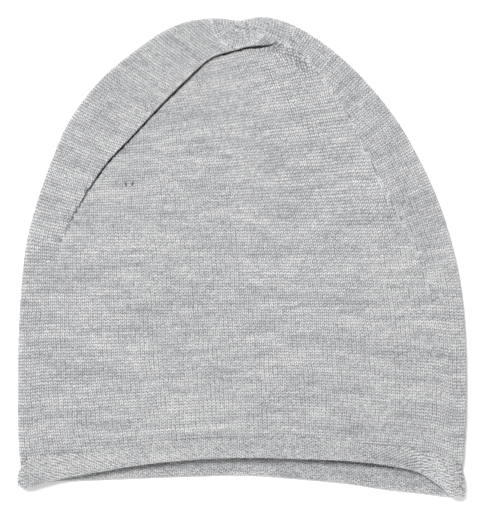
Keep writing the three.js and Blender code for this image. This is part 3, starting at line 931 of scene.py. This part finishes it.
def regions(overlap):
    """Each region's cells, grid and offset. Neighbours may overlap, to leave no bare seam."""
    left_limit, right_limit = (GATHER_RINGS[k][1] * MM for k in (-2, -1))
    limit = np.where(cell_centres[:, 0] < GATHER[0], left_limit, right_limit)
    outside = ~above_crease | (gather_reach > limit - overlap)
    above_foot = cell_centres[:, 1] > decrease_line[0, 1]
    on_flap_side = above_crease & (cell_centres[:, 0] < FLAP_RIGHT_END + overlap)
    well_on_flap = above_crease & (cell_centres[:, 0] < FLAP_RIGHT_END - overlap)
    on_wedge = above_foot & (past_decreases > -overlap)
    well_on_wedge = above_foot & (past_decreases > overlap)
    found = [
        (outside & ~well_on_flap & ~well_on_wedge, on_panel, PANEL_OFFSET),
        (outside & ~well_on_flap & on_wedge, on_right, WEDGE_OFFSET),
        (outside & on_flap_side, on_flap, FLAP_OFFSET),
    ]
    for inner, outer, wale_turn, offset in GATHER_RINGS:
        in_ring = (gather_reach > inner * MM - overlap) & (gather_reach < outer * MM + overlap)
        in_ring &= above_crease & (gather_reach < limit + overlap)
        found.append((in_ring, gather_grid(flat, wale_turn), offset))
    return found


print("cells of each region", [int(cells.sum()) for cells, _, _ in regions(0)])


# %% Count the stitches for every face
SEAM_OVERLAP = 0.4 * MM


def stitches(metres, offset=0):
    """Turns a grid in metres into whole stitches, moved along by some wales."""
    return metres / (WALE, COURSE) + (offset, 0)


def per_corner(grid, quads):
    """The grid's values at every corner of the faces."""
    return grid.reshape(-1, 2)[quads]


flat_uv = np.zeros((len(flat_cells), 4, 2))
for cells, grid, offset in regions(0):
    flat_uv[cells] = per_corner(stitches(grid, offset), flat_cells[cells])

back_cells = grid_quads(np.arange(front_index.size).reshape(front_index.shape))[:, ::-1]
back_uv = per_corner(stitches(back_grid(back[..., :2]), BACK_OFFSET), back_cells)

ring_run = np.concatenate([[0], np.cumsum(np.linalg.norm(np.diff(hem_points, axis=0), axis=1))])
ring_run = np.append(ring_run, ring_run[-1] + np.linalg.norm(hem_points[0] - hem_points[-1]))
closed_run = np.concatenate([path_run, path_run[:1]])
roll_grid = np.stack(
    [np.broadcast_to((left_edge_x + ring_run)[:, None], closed_run.shape), HEM_LEVEL - closed_run], axis=-1
)
roll_stitches = stitches(roll_grid)
roll_uv = cell_corners(roll_stitches).reshape(-1, 4, 2)
knit_uv = np.concatenate([flat_uv, back_uv, roll_uv])
print("faces counted", len(knit_uv), "of", len(knit_quads))


# %% A mesh with its stitch grid and its steps
# A face that takes up less of the grid than this gets no step
LEAST_TURN = 1e-6


def cloth_mesh(name, points, quads, uv):
    """A mesh of the cloth with the stitch grid as its UV map."""
    mesh = bpy.data.meshes.new(name)
    mesh.from_pydata(points.tolist(), [], quads.tolist())
    layer = mesh.uv_layers.new(name="knit")
    layer.data.foreach_set("uv", uv.astype(np.float32).ravel())
    mesh.shade_smooth()
    return mesh


def stitch_steps(mesh, points, quads, uv):
    """Stores on each face the step from one wale to the next and from one course to the next."""
    corners = points[quads]
    side_a = corners[:, 2] - corners[:, 0]
    side_b = corners[:, 3] - corners[:, 1]
    uv_a = uv[:, 2] - uv[:, 0]
    uv_b = uv[:, 3] - uv[:, 1]
    turn = (uv_a[:, 0] * uv_b[:, 1] - uv_b[:, 0] * uv_a[:, 1])[:, None]
    turn = np.where(np.abs(turn) < LEAST_TURN, np.inf, turn)
    wale_step = (side_a * uv_b[:, 1:] - side_b * uv_a[:, 1:]) / turn
    course_step = (side_b * uv_a[:, :1] - side_a * uv_b[:, :1]) / turn
    for name, step in (("wale_step", wale_step), ("course_step", course_step)):
        attribute = mesh.attributes.new(name, "FLOAT_VECTOR", "FACE")
        attribute.data.foreach_set("vector", step.astype(np.float32).ravel())


strip_uv = np.stack([roll_stitches[[start, start, end, end], -1] for start, end in strip_ends])
shell_points = np.concatenate([knit_points, purl_points])
shell_quads = np.concatenate([knit_quads, purl_quads + len(knit_points), edge_strip])
shell_uv = np.concatenate([knit_uv, knit_uv[:, ::-1], strip_uv])
shell_mesh = cloth_mesh("knit_cloth", shell_points, shell_quads, shell_uv)
print("shell mesh", len(shell_mesh.polygons), "faces")

# %% [markdown]
# ## Heather wool
#
# Heather yarn is spun from paler and darker fibres. As it is knitted round and round, its
# lighter and darker stretches lie along the courses as short streaks. The colour is one noise
# in the stitch grid, stretched along the courses, a second one for larger clouds, a random
# tone for each stitch, and fine specks for single strands. The surface is matt with a soft
# sheen, and a fine noise stands for the fibres of the yarn. A picture of knitting would blur
# close up and couldn't bend with the wales, so nodes work everything out.

# %% Adding nodes
# Where a node has several sockets of one name, these are their numbers
MIX_FACTOR, MIX_A, MIX_B = 0, 2, 3
MIX_COLOUR_A, MIX_COLOUR_B, MIX_COLOUR_OUT = 6, 7, 2
RANDOM_LOW, RANDOM_HIGH, RANDOM_OUT = 2, 3, 1


def add_node(tree, kind, inputs=None, **settings):
    """Adds a node with its settings, then sets its inputs or links them to sockets."""
    node = tree.nodes.new(kind)
    for name, value in settings.items():
        setattr(node, name, value)
    for key, value in (inputs or {}).items():
        if isinstance(value, bpy.types.NodeSocket):
            tree.links.new(value, node.inputs[key])
        else:
            node.inputs[key].default_value = value
    return node


def calculate(tree, operation, a, b):
    """One operation on two numbers or sockets."""
    return add_node(tree, "ShaderNodeMath", {0: a, 1: b}, operation=operation).outputs[0]


print("helpers: add_node, calculate")

# %% Tones and finish of the wool
# Streaks and clouds are so many wales long and so many courses high
STREAK = (10, 2.1)
GATHER_STREAK = (1.5, 6)
CLOUD = (30, 9)
YARN_DARK = (0.249, 0.258, 0.28)
YARN_LIGHT = (0.692, 0.69, 0.686)
STREAK_RANGE = (0.35, 0.65)
CLOUD_SHARE = 0.35
STITCH_SHARE = 0.33
FIBRE_SCALE = 2600
FIBRE_STRENGTH = 0.25
FIBRE_DEPTH = 0.1 * MM
SPECKLE_SCALE = 1300
SPECKLE_RANGE = (0.36, 0.64)
SPECKLE_SHARE = 0.42
# The shell's yarn is this much darker: painted shade between the stitches and in the crease's groove
GAP_SHADE_DARKNESS = 0.44
STREAK_DETAIL = 3.0
FIBRE_DETAIL = 2.0
SOFT_DETAIL = 1.0
WOOL_FINISH = {
    "Roughness": 0.95,
    "Specular IOR Level": 0.2,
    "Sheen Weight": 0.15,
    "Sheen Roughness": 0.6,
}
print("yarn from", YARN_DARK, "to", YARN_LIGHT)


# %% The heather's tone
def stretched_noise(tree, grid, stretch, detail):
    """Soft noise in the stitch grid, so many wales long and so many courses high."""
    scale = (1 / stretch[0], 1 / stretch[1], 1)
    placed = add_node(tree, "ShaderNodeMapping", {"Vector": grid, "Scale": scale})
    inputs = {"Vector": placed.outputs["Vector"], "Scale": 1.0, "Detail": detail}
    return add_node(tree, "ShaderNodeTexNoise", inputs).outputs["Fac"]


def blend(tree, low, high, share):
    """A number between two numbers or sockets."""
    inputs = {MIX_FACTOR: share, MIX_A: low, MIX_B: high}
    return add_node(tree, "ShaderNodeMix", inputs, data_type="FLOAT").outputs[0]


def spread_out(tree, value, low, high):
    """Spreads the values from low to high over 0 to 1."""
    inputs = {"Value": value, "From Min": low, "From Max": high}
    return add_node(tree, "ShaderNodeMapRange", inputs).outputs["Result"]


def heather_tone(tree, streak_size):
    """From 0, the yarn's darkest stretches, to 1, its palest."""
    grid = add_node(tree, "ShaderNodeAttribute", attribute_name="knit").outputs["Vector"]
    streak = stretched_noise(tree, grid, streak_size, STREAK_DETAIL)
    cloud = stretched_noise(tree, grid, CLOUD, SOFT_DETAIL)
    streaks = spread_out(tree, blend(tree, streak, cloud, CLOUD_SHARE), *STREAK_RANGE)
    whole = add_node(tree, "ShaderNodeVectorMath", {0: grid}, operation="FLOOR").outputs["Vector"]
    chance = add_node(tree, "ShaderNodeTexWhiteNoise", {"Vector": whole}, noise_dimensions="3D")
    by_stitch = blend(tree, streaks, chance.outputs["Value"], STITCH_SHARE)
    place = add_node(tree, "ShaderNodeTexCoord").outputs["Object"]
    inputs = {"Vector": place, "Scale": SPECKLE_SCALE, "Detail": SOFT_DETAIL}
    speckle = add_node(tree, "ShaderNodeTexNoise", inputs).outputs["Fac"]
    return blend(tree, by_stitch, spread_out(tree, speckle, *SPECKLE_RANGE), SPECKLE_SHARE)


print("streak in wales and courses", STREAK, "cloud", CLOUD)


# %% Wool
def wool(name, darkness=1.0, streak_size=STREAK):
    """Heather yarn. A darkness below 1 paints the shade that falls in the deep places between stitches."""
    material = bpy.data.materials.new(name)
    material.use_nodes = True
    tree = material.node_tree
    shader = tree.nodes["Principled BSDF"]
    dark = [channel * darkness for channel in YARN_DARK]
    light = [channel * darkness for channel in YARN_LIGHT]
    tone = heather_tone(tree, streak_size)
    inputs = {MIX_FACTOR: tone, MIX_COLOUR_A: (*dark, 1), MIX_COLOUR_B: (*light, 1)}
    colour = add_node(tree, "ShaderNodeMix", inputs, data_type="RGBA").outputs[MIX_COLOUR_OUT]
    tree.links.new(colour, shader.inputs["Base Color"])
    place = add_node(tree, "ShaderNodeTexCoord").outputs["Object"]
    inputs = {"Vector": place, "Scale": FIBRE_SCALE, "Detail": FIBRE_DETAIL}
    fibre = add_node(tree, "ShaderNodeTexNoise", inputs).outputs["Fac"]
    inputs = {"Height": fibre, "Strength": FIBRE_STRENGTH, "Distance": FIBRE_DEPTH}
    bump = add_node(tree, "ShaderNodeBump", inputs).outputs["Normal"]
    tree.links.new(bump, shader.inputs["Normal"])
    for socket, value in WOOL_FINISH.items():
        shader.inputs[socket].default_value = value
    return material


yarn = wool("heather_yarn")
gathered_yarn = wool("heather_yarn_at_the_gather", streak_size=GATHER_STREAK)
# This darkened yarn paints the shade between the stitches, in the crease's groove and in the dark strokes
shaded_gap_yarn = wool("heather_yarn_painted_gap_shade", GAP_SHADE_DARKNESS)
print("materials", [material.name for material in (yarn, gathered_yarn, shaded_gap_yarn)])

# %% [markdown]
# ## Knitting the stitches
#
# On the knit side each stitch shows as two slanting legs of yarn. Geometry Nodes make them:
# a lattice with a point for every wale and course is laid on the cloth through its UV map,
# points that fall on no face are dropped, and a stitch of two small spindles is placed on
# each of the others, turned and stretched with the cloth there. The purl side shows the
# other half of the loops, small arcs across the wales. The same tree makes them in two runs,
# arcs that open downwards and arcs that open upwards, with shorter legs that slant more.
#
# A bump pattern would be lighter, but from the side it would look painted on, and the hat's
# outline would be smooth where a real one has stitches.

# %% One leg of a stitch
# A UV map is looked up between 0 and 1, so whole stitches are divided by this there
STITCHES_IN_MAP = 4096
LEG_SEGMENTS = 4
LEG_RINGS = 2
SHORTEST, LONGEST = 0.6, 1.4
DRIFT_SCALE = 0.13
# The twist of each stitch is drawn with another seed than its size
SEED_STEP = 100.0

STITCH_INPUTS = [
    ("First Wale", "NodeSocketFloat"),
    ("Wales", "NodeSocketInt"),
    ("First Course", "NodeSocketFloat"),
    ("Courses", "NodeSocketInt"),
    ("Leg Width", "NodeSocketFloat"),
    ("Leg Length", "NodeSocketFloat"),
    ("Leg Height", "NodeSocketFloat"),
    ("Leg Spread", "NodeSocketFloat"),
    ("Leg Slant", "NodeSocketFloat"),
    ("Leg Tilt", "NodeSocketFloat"),
    ("Unevenness", "NodeSocketFloat"),
    ("Straying", "NodeSocketFloat"),
    ("Drift", "NodeSocketFloat"),
    ("Seed", "NodeSocketInt"),
    ("Yarn", "NodeSocketMaterial"),
]


def vector_of(tree, x, y, z):
    """A vector from three numbers or sockets."""
    return add_node(tree, "ShaderNodeCombineXYZ", {"X": x, "Y": y, "Z": z}).outputs[0]


def turned(tree, geometry, angles, place=(0, 0, 0)):
    """Geometry turned by three angles, then moved."""
    turn = add_node(tree, "FunctionNodeEulerToRotation", {"Euler": angles}).outputs["Rotation"]
    inputs = {"Geometry": geometry, "Rotation": turn, "Translation": place}
    return add_node(tree, "GeometryNodeTransform", inputs).outputs["Geometry"]


def stitch_leg(tree, given, side):
    """One leg of a stitch: a spindle, slanted to its side and tilted into the cloth."""
    inputs = {"Segments": LEG_SEGMENTS, "Rings": LEG_RINGS, "Radius": 0.5}
    ball = add_node(tree, "GeometryNodeMeshUVSphere", inputs).outputs["Mesh"]
    smooth = add_node(tree, "GeometryNodeSetShadeSmooth", {"Geometry": ball}).outputs["Geometry"]
    lying = turned(tree, smooth, (np.pi / 2, 0, 0))
    size = vector_of(tree, given["Leg Width"], given["Leg Length"], given["Leg Height"])
    slim = add_node(tree, "GeometryNodeTransform", {"Geometry": lying, "Scale": size})
    slant = calculate(tree, "MULTIPLY", given["Leg Slant"], side)
    shift = calculate(tree, "MULTIPLY", given["Leg Spread"], side)
    angles = vector_of(tree, given["Leg Tilt"], 0.0, slant)
    return turned(tree, slim.outputs["Geometry"], angles, vector_of(tree, shift, 0.0, 0.0))


print("inputs of the tree", len(STITCH_INPUTS))


# %% A new tree and its attributes
def new_tree(name, given):
    """A geometry node group with named inputs."""
    tree = bpy.data.node_groups.new(name, "GeometryNodeTree")
    tree.interface.new_socket("Geometry", in_out="INPUT", socket_type="NodeSocketGeometry")
    for title, kind in given:
        tree.interface.new_socket(title, in_out="INPUT", socket_type=kind)
    tree.interface.new_socket("Geometry", in_out="OUTPUT", socket_type="NodeSocketGeometry")
    return tree


def attribute_of(tree, name):
    """A named vector attribute."""
    inputs = {"Name": name}
    node = add_node(tree, "GeometryNodeInputNamedAttribute", inputs, data_type="FLOAT_VECTOR")
    return node.outputs["Attribute"]


def combined(tree, operation, a, b):
    """One operation on two vectors, or on a vector and its scale."""
    inputs = {0: a, "Scale" if operation == "SCALE" else 1: b}
    return add_node(tree, "ShaderNodeVectorMath", inputs, operation=operation).outputs[0]


def stored(tree, geometry, name, value):
    """Keeps a vector at every point of some geometry under a name."""
    inputs = {"Geometry": geometry, "Name": name, "Value": value}
    settings = {"data_type": "FLOAT_VECTOR", "domain": "POINT"}
    return add_node(tree, "GeometryNodeStoreNamedAttribute", inputs, **settings).outputs["Geometry"]


print("helpers: new_tree, attribute_of, combined, stored")


# %% A point for every stitch
def stitch_lattice(tree, given):
    """Points at every whole stitch of the field. Each keeps its place in the grid as knit.

    Hand and machine never lay two stitches quite alike, so each point also keeps the place
    that it strays to: a little at random, and a little with a slow drift of its neighbours.
    """
    wide = calculate(tree, "SUBTRACT", given["Wales"], 1.0)
    high = calculate(tree, "SUBTRACT", given["Courses"], 1.0)
    inputs = {"Size X": wide, "Size Y": high, "Vertices X": given["Wales"], "Vertices Y": given["Courses"]}
    lattice = add_node(tree, "GeometryNodeMeshGrid", inputs).outputs["Mesh"]
    first_wale = calculate(tree, "ADD", calculate(tree, "MULTIPLY", wide, 0.5), given["First Wale"])
    first_course = calculate(tree, "ADD", calculate(tree, "MULTIPLY", high, 0.5), given["First Course"])
    place = add_node(tree, "GeometryNodeInputPosition").outputs[0]
    counted = combined(tree, "ADD", place, vector_of(tree, first_wale, first_course, 0.0))
    known = stored(tree, lattice, "knit", counted)

    inputs = {0: (-1, -1, 0), 1: (1, 1, 0), "Seed": given["Seed"]}
    chance = add_node(tree, "FunctionNodeRandomValue", inputs, data_type="FLOAT_VECTOR").outputs[0]
    inputs = {"Vector": attribute_of(tree, "knit"), "Scale": DRIFT_SCALE, "Detail": SOFT_DETAIL}
    waves = add_node(tree, "ShaderNodeTexNoise", inputs).outputs["Color"]
    slow = combined(tree, "SUBTRACT", waves, (0.5, 0.5, 0.5))
    at_random = combined(tree, "SCALE", chance, given["Straying"])
    with_drift = combined(tree, "ADD", at_random, combined(tree, "SCALE", slow, given["Drift"]))
    strayed = combined(tree, "ADD", attribute_of(tree, "knit"), with_drift)
    return stored(tree, known, "stray", strayed)


def on_cloth(tree, cloth_geometry, value):
    """A value of the cloth at each lattice point, found through the cloth's UV map."""
    share = {0: attribute_of(tree, "stray"), "Scale": 1 / STITCHES_IN_MAP}
    inputs = {
        "Mesh": cloth_geometry,
        "Value": value,
        "UV Map": attribute_of(tree, "knit"),
        "Sample UV": add_node(tree, "ShaderNodeVectorMath", share, operation="SCALE").outputs[0],
    }
    return add_node(tree, "GeometryNodeSampleUVSurface", inputs, data_type="FLOAT_VECTOR").outputs


def chance_between(tree, low, high, seed):
    """A random number for each stitch."""
    inputs = {RANDOM_LOW: low, RANDOM_HIGH: high, "Seed": seed}
    return add_node(tree, "FunctionNodeRandomValue", inputs, data_type="FLOAT").outputs[RANDOM_OUT]


def stretch_of(tree, step, size):
    """How much longer or shorter than planned the cloth makes its stitches here."""
    length = add_node(tree, "ShaderNodeVectorMath", {0: step}, operation="LENGTH").outputs["Value"]
    share = calculate(tree, "DIVIDE", length, size)
    limits = {"Value": share, "Min": SHORTEST, "Max": LONGEST}
    return add_node(tree, "ShaderNodeClamp", limits).outputs[0]


print("drift of the stitches over so many wales", round(1 / DRIFT_SCALE, 1))


# %% The tree that knits
def stitch_tree():
    """The tree that covers a cloth with stitches of two legs."""
    tree = new_tree("stitches_on_cloth", STITCH_INPUTS)
    given = add_node(tree, "NodeGroupInput").outputs
    place = add_node(tree, "GeometryNodeInputPosition").outputs[0]
    facing = add_node(tree, "GeometryNodeInputNormal").outputs[0]
    found = on_cloth(tree, given["Geometry"], place)
    outward = on_cloth(tree, given["Geometry"], facing)["Value"]
    wale_step = on_cloth(tree, given["Geometry"], attribute_of(tree, "wale_step"))["Value"]
    course_step = on_cloth(tree, given["Geometry"], attribute_of(tree, "course_step"))["Value"]

    missed = add_node(tree, "FunctionNodeBooleanMath", {0: found["Is Valid"]}, operation="NOT").outputs[0]
    inputs = {"Geometry": stitch_lattice(tree, given), "Selection": missed}
    kept = add_node(tree, "GeometryNodeDeleteGeometry", inputs, domain="POINT").outputs["Geometry"]
    inputs = {"Geometry": kept, "Position": found["Value"]}
    laid = add_node(tree, "GeometryNodeSetPosition", inputs).outputs["Geometry"]

    stitch = add_node(tree, "GeometryNodeJoinGeometry")
    for side in (-1.0, 1.0):
        tree.links.new(stitch_leg(tree, given, side), stitch.inputs[0])
    wide = stretch_of(tree, wale_step, WALE)
    high = stretch_of(tree, course_step, COURSE)
    half = calculate(tree, "MULTIPLY", given["Unevenness"], 0.5)
    smallest = calculate(tree, "SUBTRACT", 1.0, half)
    largest = calculate(tree, "ADD", 1.0, half)
    uneven = chance_between(tree, smallest, largest, given["Seed"])
    inputs = {0: vector_of(tree, wide, high, 1.0), "Scale": uneven}
    size = add_node(tree, "ShaderNodeVectorMath", inputs, operation="SCALE").outputs[0]
    other_seed = calculate(tree, "ADD", given["Seed"], SEED_STEP)
    twist = chance_between(tree, calculate(tree, "MULTIPLY", half, -1.0), half, other_seed)
    upward = combined(tree, "ADD", course_step, combined(tree, "SCALE", wale_step, twist))
    inputs = {"Primary Axis": outward, "Secondary Axis": upward}
    turn = add_node(
        tree, "FunctionNodeAxesToRotation", inputs, primary_axis="Z", secondary_axis="Y"
    ).outputs["Rotation"]
    inputs = {"Points": laid, "Instance": stitch.outputs[0], "Rotation": turn, "Scale": size}
    knitted = add_node(tree, "GeometryNodeInstanceOnPoints", inputs).outputs[0]
    real = add_node(tree, "GeometryNodeRealizeInstances", {"Geometry": knitted}).outputs[0]
    dyed = add_node(tree, "GeometryNodeSetMaterial", {"Geometry": real, "Material": given["Yarn"]})
    add_node(tree, "NodeGroupOutput", {"Geometry": dyed.outputs[0]})
    return tree


stitch_group = stitch_tree()
print("stitch tree nodes", len(stitch_group.nodes))


# %% Knit one piece
# The floor presses the stitches under the hat flat
FLOOR_CLEARANCE = 0.02 * MM


def knitted_on(skin, name, values):
    """Runs the stitch tree on a cloth and keeps its result as a plain mesh."""
    piece = new_object(name, skin)
    modifier = piece.modifiers.new("stitches", "NODES")
    modifier.node_group = stitch_group
    for item in stitch_group.interface.items_tree:
        if item.in_out == "INPUT" and item.name in values:
            modifier[item.identifier] = values[item.name]
    graph = bpy.context.evaluated_depsgraph_get()
    made = bpy.data.meshes.new_from_object(piece.evaluated_get(graph), depsgraph=graph)
    made.name = name
    piece.modifiers.remove(modifier)
    piece.data = made
    places = np.empty(len(made.vertices) * 3, np.float32)
    made.vertices.foreach_get("co", places)
    heights = places.reshape(-1, 3)[:, 2]
    np.maximum(heights, FLOOR_CLEARANCE, out=heights)
    made.vertices.foreach_set("co", places)
    triangles = sum(len(face.vertices) - 2 for face in made.polygons)
    print(name, "triangles", triangles)
    return piece


def skin_of(name, points, quads, uv):
    """A cloth for the tree: the faces to be knitted, with their grid and their steps."""
    used, corners = np.unique(quads, return_inverse=True)
    skin = cloth_mesh(name, points[used], corners.reshape(quads.shape), uv / STITCHES_IN_MAP)
    stitch_steps(skin, points, quads, uv)
    return skin


print("stitches in the map's whole width", STITCHES_IN_MAP)

# %% Sizes and fields of the knit side
KNIT_LEGS = {
    "Leg Width": 0.94 * MM,
    "Leg Length": 2.4 * MM,
    "Leg Spread": 0.52 * MM,
    "Leg Slant": 0.42,
    "Leg Tilt": 0.05,
    "Unevenness": 0.17,
    "Straying": 0.06,
    "Drift": 0.8,
}
GATHER_LEG_LENGTH = 2.8 * MM
COURSE_RANGE = (-100, 140)
LATTICE_SHIFT = 0.37
FULL_HEIGHT = 0.95 * MM
PRESSED_HEIGHT = 0.66 * MM
# No stitches are needed where the groove is deeper than this share of its lift
GROOVE_SHADE = -0.5
# Behind the gather, where its wales begin and end their round, a face would span all of them
TORN_WALES = 12
KNIT_FIELDS = [
    # name, first wale, last wale, height of its legs, yarn, seed
    ("panel_left_stitches", -66, 0, FULL_HEIGHT, yarn, 11),
    ("panel_right_stitches", 1, 66, FULL_HEIGHT, yarn, 12),
    ("flap_stitches", -566, -440, FULL_HEIGHT, yarn, 13),
    ("right_stitches", 434, 566, FULL_HEIGHT, yarn, 14),
    ("gather_stitches", 680, 870, FULL_HEIGHT, gathered_yarn, 15),
    ("back_left_stitches", 1200, 1260, PRESSED_HEIGHT, yarn, 17),
    ("back_right_stitches", 1140, 1199, PRESSED_HEIGHT, yarn, 18),
]


def field(first_wale, last_wale, shift, seed):
    """The values that place a lattice over a range of wales."""
    return {
        "First Wale": first_wale + shift,
        "Wales": last_wale - first_wale + 1,
        "First Course": COURSE_RANGE[0] + shift,
        "Courses": COURSE_RANGE[1] - COURSE_RANGE[0] + 1,
        "Seed": seed,
    }


print("knit fields", len(KNIT_FIELDS))

# %% Knit the outside
# In the groove the shell's darkened yarn shows bare, as painted shade
in_groove = np.zeros(len(flat_cells), bool)
front_columns = np.tile(np.arange(COLUMNS), ROWS)
deep_rows = np.zeros(ROWS, bool)
deep_rows[foot_row : foot_row + FOLD_ROWS] = fold_heights[:, COLUMNS // 2] < GROOVE_SHADE
in_groove[: len(front_quads)] = deep_rows[front_rows] & (tuck[front_columns] > 0.5)

skin_quads = [back_quads]
skin_uv = [back_uv]
for cells, grid, offset in regions(SEAM_OVERLAP):
    lit = cells & ~in_groove
    skin_quads.append(body_quads[: len(flat_cells)][lit])
    skin_uv.append(per_corner(stitches(grid, offset), flat_cells[lit]))
skin_quads = np.concatenate(skin_quads)
skin_uv = np.concatenate(skin_uv)
in_one_place = np.ptp(skin_uv[..., 0], axis=1) < TORN_WALES
knit_skin = skin_of("knit_side", knit_points, skin_quads[in_one_place], skin_uv[in_one_place])
stitch_pieces = []
for name, first_wale, last_wale, height, spun, seed in KNIT_FIELDS:
    values = {**KNIT_LEGS, **field(first_wale, last_wale, LATTICE_SHIFT, seed)}
    values.update({"Leg Height": height, "Yarn": spun})
    if spun is gathered_yarn:
        values["Leg Length"] = GATHER_LEG_LENGTH
    stitch_pieces.append(knitted_on(knit_skin, name, values))

# %% Knit the purl side where it shows
# That is the outside of the roll, and the inside of the hat near its open edge
PURL_SEEN = 12 * MM
PURL_LEGS = {
    "Leg Width": 0.88 * MM,
    "Leg Length": 1.15 * MM,
    "Leg Height": 0.9 * MM,
    "Leg Spread": 0.44 * MM,
    "Leg Tilt": 0.0,
    "Unevenness": 0.2,
    "Straying": 0.14,
    "Drift": 0.9,
    "Yarn": yarn,
}
PURL_SLANT = 0.8
PURL_LOOPS = [
    # name, shift of its lattice, slant, seed
    ("purl_upper_loops", 0.37, PURL_SLANT, 21),
    ("purl_lower_loops", 0.87, -PURL_SLANT, 22),
]
PURL_FIELDS = [
    # name, first wale, last wale
    ("front", -63, 60),
    ("back", 61, 175),
    ("inside_back", 1140, 1260),
]

body_centres = knit_points[body_quads].mean(axis=1)
body_hem = np.where(body_centres[:, 2] > EDGE_TOP / 2, front[0, :, 1].max(), back[0, :, 1].max())
on_roll = np.ones(len(knit_quads) - len(body_quads), bool)
seen = np.concatenate([body_centres[:, 1] < body_hem + PURL_SEEN, on_roll])
purl_skin = skin_of("purl_side", purl_points, purl_quads[seen], knit_uv[seen][:, ::-1])
for name, shift, slant, seed in PURL_LOOPS:
    for part, first_wale, last_wale in PURL_FIELDS:
        values = {**PURL_LEGS, **field(first_wale, last_wale, shift, seed), "Leg Slant": slant}
        stitch_pieces.append(knitted_on(purl_skin, f"{name}_{part}", values))

# %% [markdown]
# ## Tack stitches and strokes of painted shade
#
# Two tiny stitches of dark brown thread tack the cloth on the left. Where wales end in
# decreases, and where the crown is drawn in, short strokes of shade fall into the cloth here and
# there; they are painted as darkened yarn. Each is one small spindle, half sunk in the knit.
# They are few and each has its own place, so a short table is plainer than a node tree.

# %% Tack stitches and painted shade strokes
TACK_COLOUR = (0.075, 0.05, 0.04, 1)
TACK_ROUGHNESS = 0.8
TACK_SIZE = (0.75 * MM, 2.1 * MM, 0.9 * MM)
TACKS = [
    # x and y in millimetres, lean to the left in degrees, share of the full length
    (-57.7, 36.1, 8, 1), (-54.4, 36.3, -6, 0.9),
]
# Strokes of darkened yarn that paint the shade in the decreases and at the gather
SHADE_STROKE_SIZE = (0.5 * MM, 3.8 * MM, 0.6 * MM)
SHADE_STROKES = [
    (53.7, 70, 30, 1), (66.5, 42.5, 18, 1), (89.5, -3, 14, 0.7), (-2.1, 114.2, 4, 0.7),
    (2.1, 115.9, 12, 0.5), (3.4, 113.3, 27, 0.9), (6.6, 113, 23, 0.9),
]
SPINDLE = {"u_segments": 8, "v_segments": 6, "radius": 0.5}


def small_spindles(name, rows, size, material):
    """Small spindles on the front of the hat, joined as one piece."""
    joined = bmesh.new()
    for x, y, lean, share in rows:
        at = np.linalg.norm(front[..., :2] - (x * MM, y * MM), axis=-1).argmin()
        place = Vector((x * MM, y * MM, front[..., 2].flat[at]))
        turn = Euler((0, 0, np.radians(lean)))
        scale = Vector((size[0], size[1] * share, size[2]))
        bmesh.ops.create_uvsphere(joined, matrix=Matrix.LocRotScale(place, turn, scale), **SPINDLE)
    mesh = bpy.data.meshes.new(name)
    joined.to_mesh(mesh)
    joined.free()
    mesh.shade_smooth()
    mesh.materials.append(material)
    print(name, "stitches", len(rows))
    return new_object(name, mesh)


tack_thread = plain_material("tack_thread", TACK_COLOUR, TACK_ROUGHNESS)
stitch_pieces.append(small_spindles("tack_stitches", TACKS, TACK_SIZE, tack_thread))
# Dark spindles of the gaps' yarn paint the shade in the decreases and round the gather
stitch_pieces.append(small_spindles("painted_shade_strokes", SHADE_STROKES, SHADE_STROKE_SIZE, shaded_gap_yarn))

# %% [markdown]
# ## The sheet of cloth
#
# The shell carries all the stitches and stands in for both of the frame's solids. Knitted
# flat it would be as wide as the hat is round, and as long as the hat with its edge unrolled.
# The crown's decreases take away a part of that rectangle, so the knit side's area is worked out and
# printed.

cloth_piece = new_object("knit_cloth", shell_mesh)
# The shell's darkened yarn paints the shade that falls between the stitches and in the crease's groove
shell_mesh.materials.append(shaded_gap_yarn)
for piece in [cloth_piece, *stitch_pieces]:
    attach(piece, "root")
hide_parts("crown_body", "rolled_brim")
corners = knit_points[knit_quads]
knit_area = np.linalg.norm(np.cross(corners[:, 2] - corners[:, 0], corners[:, 3] - corners[:, 1]), axis=1)
print("knit side in square metres", round(knit_area.sum() / 2, 4))
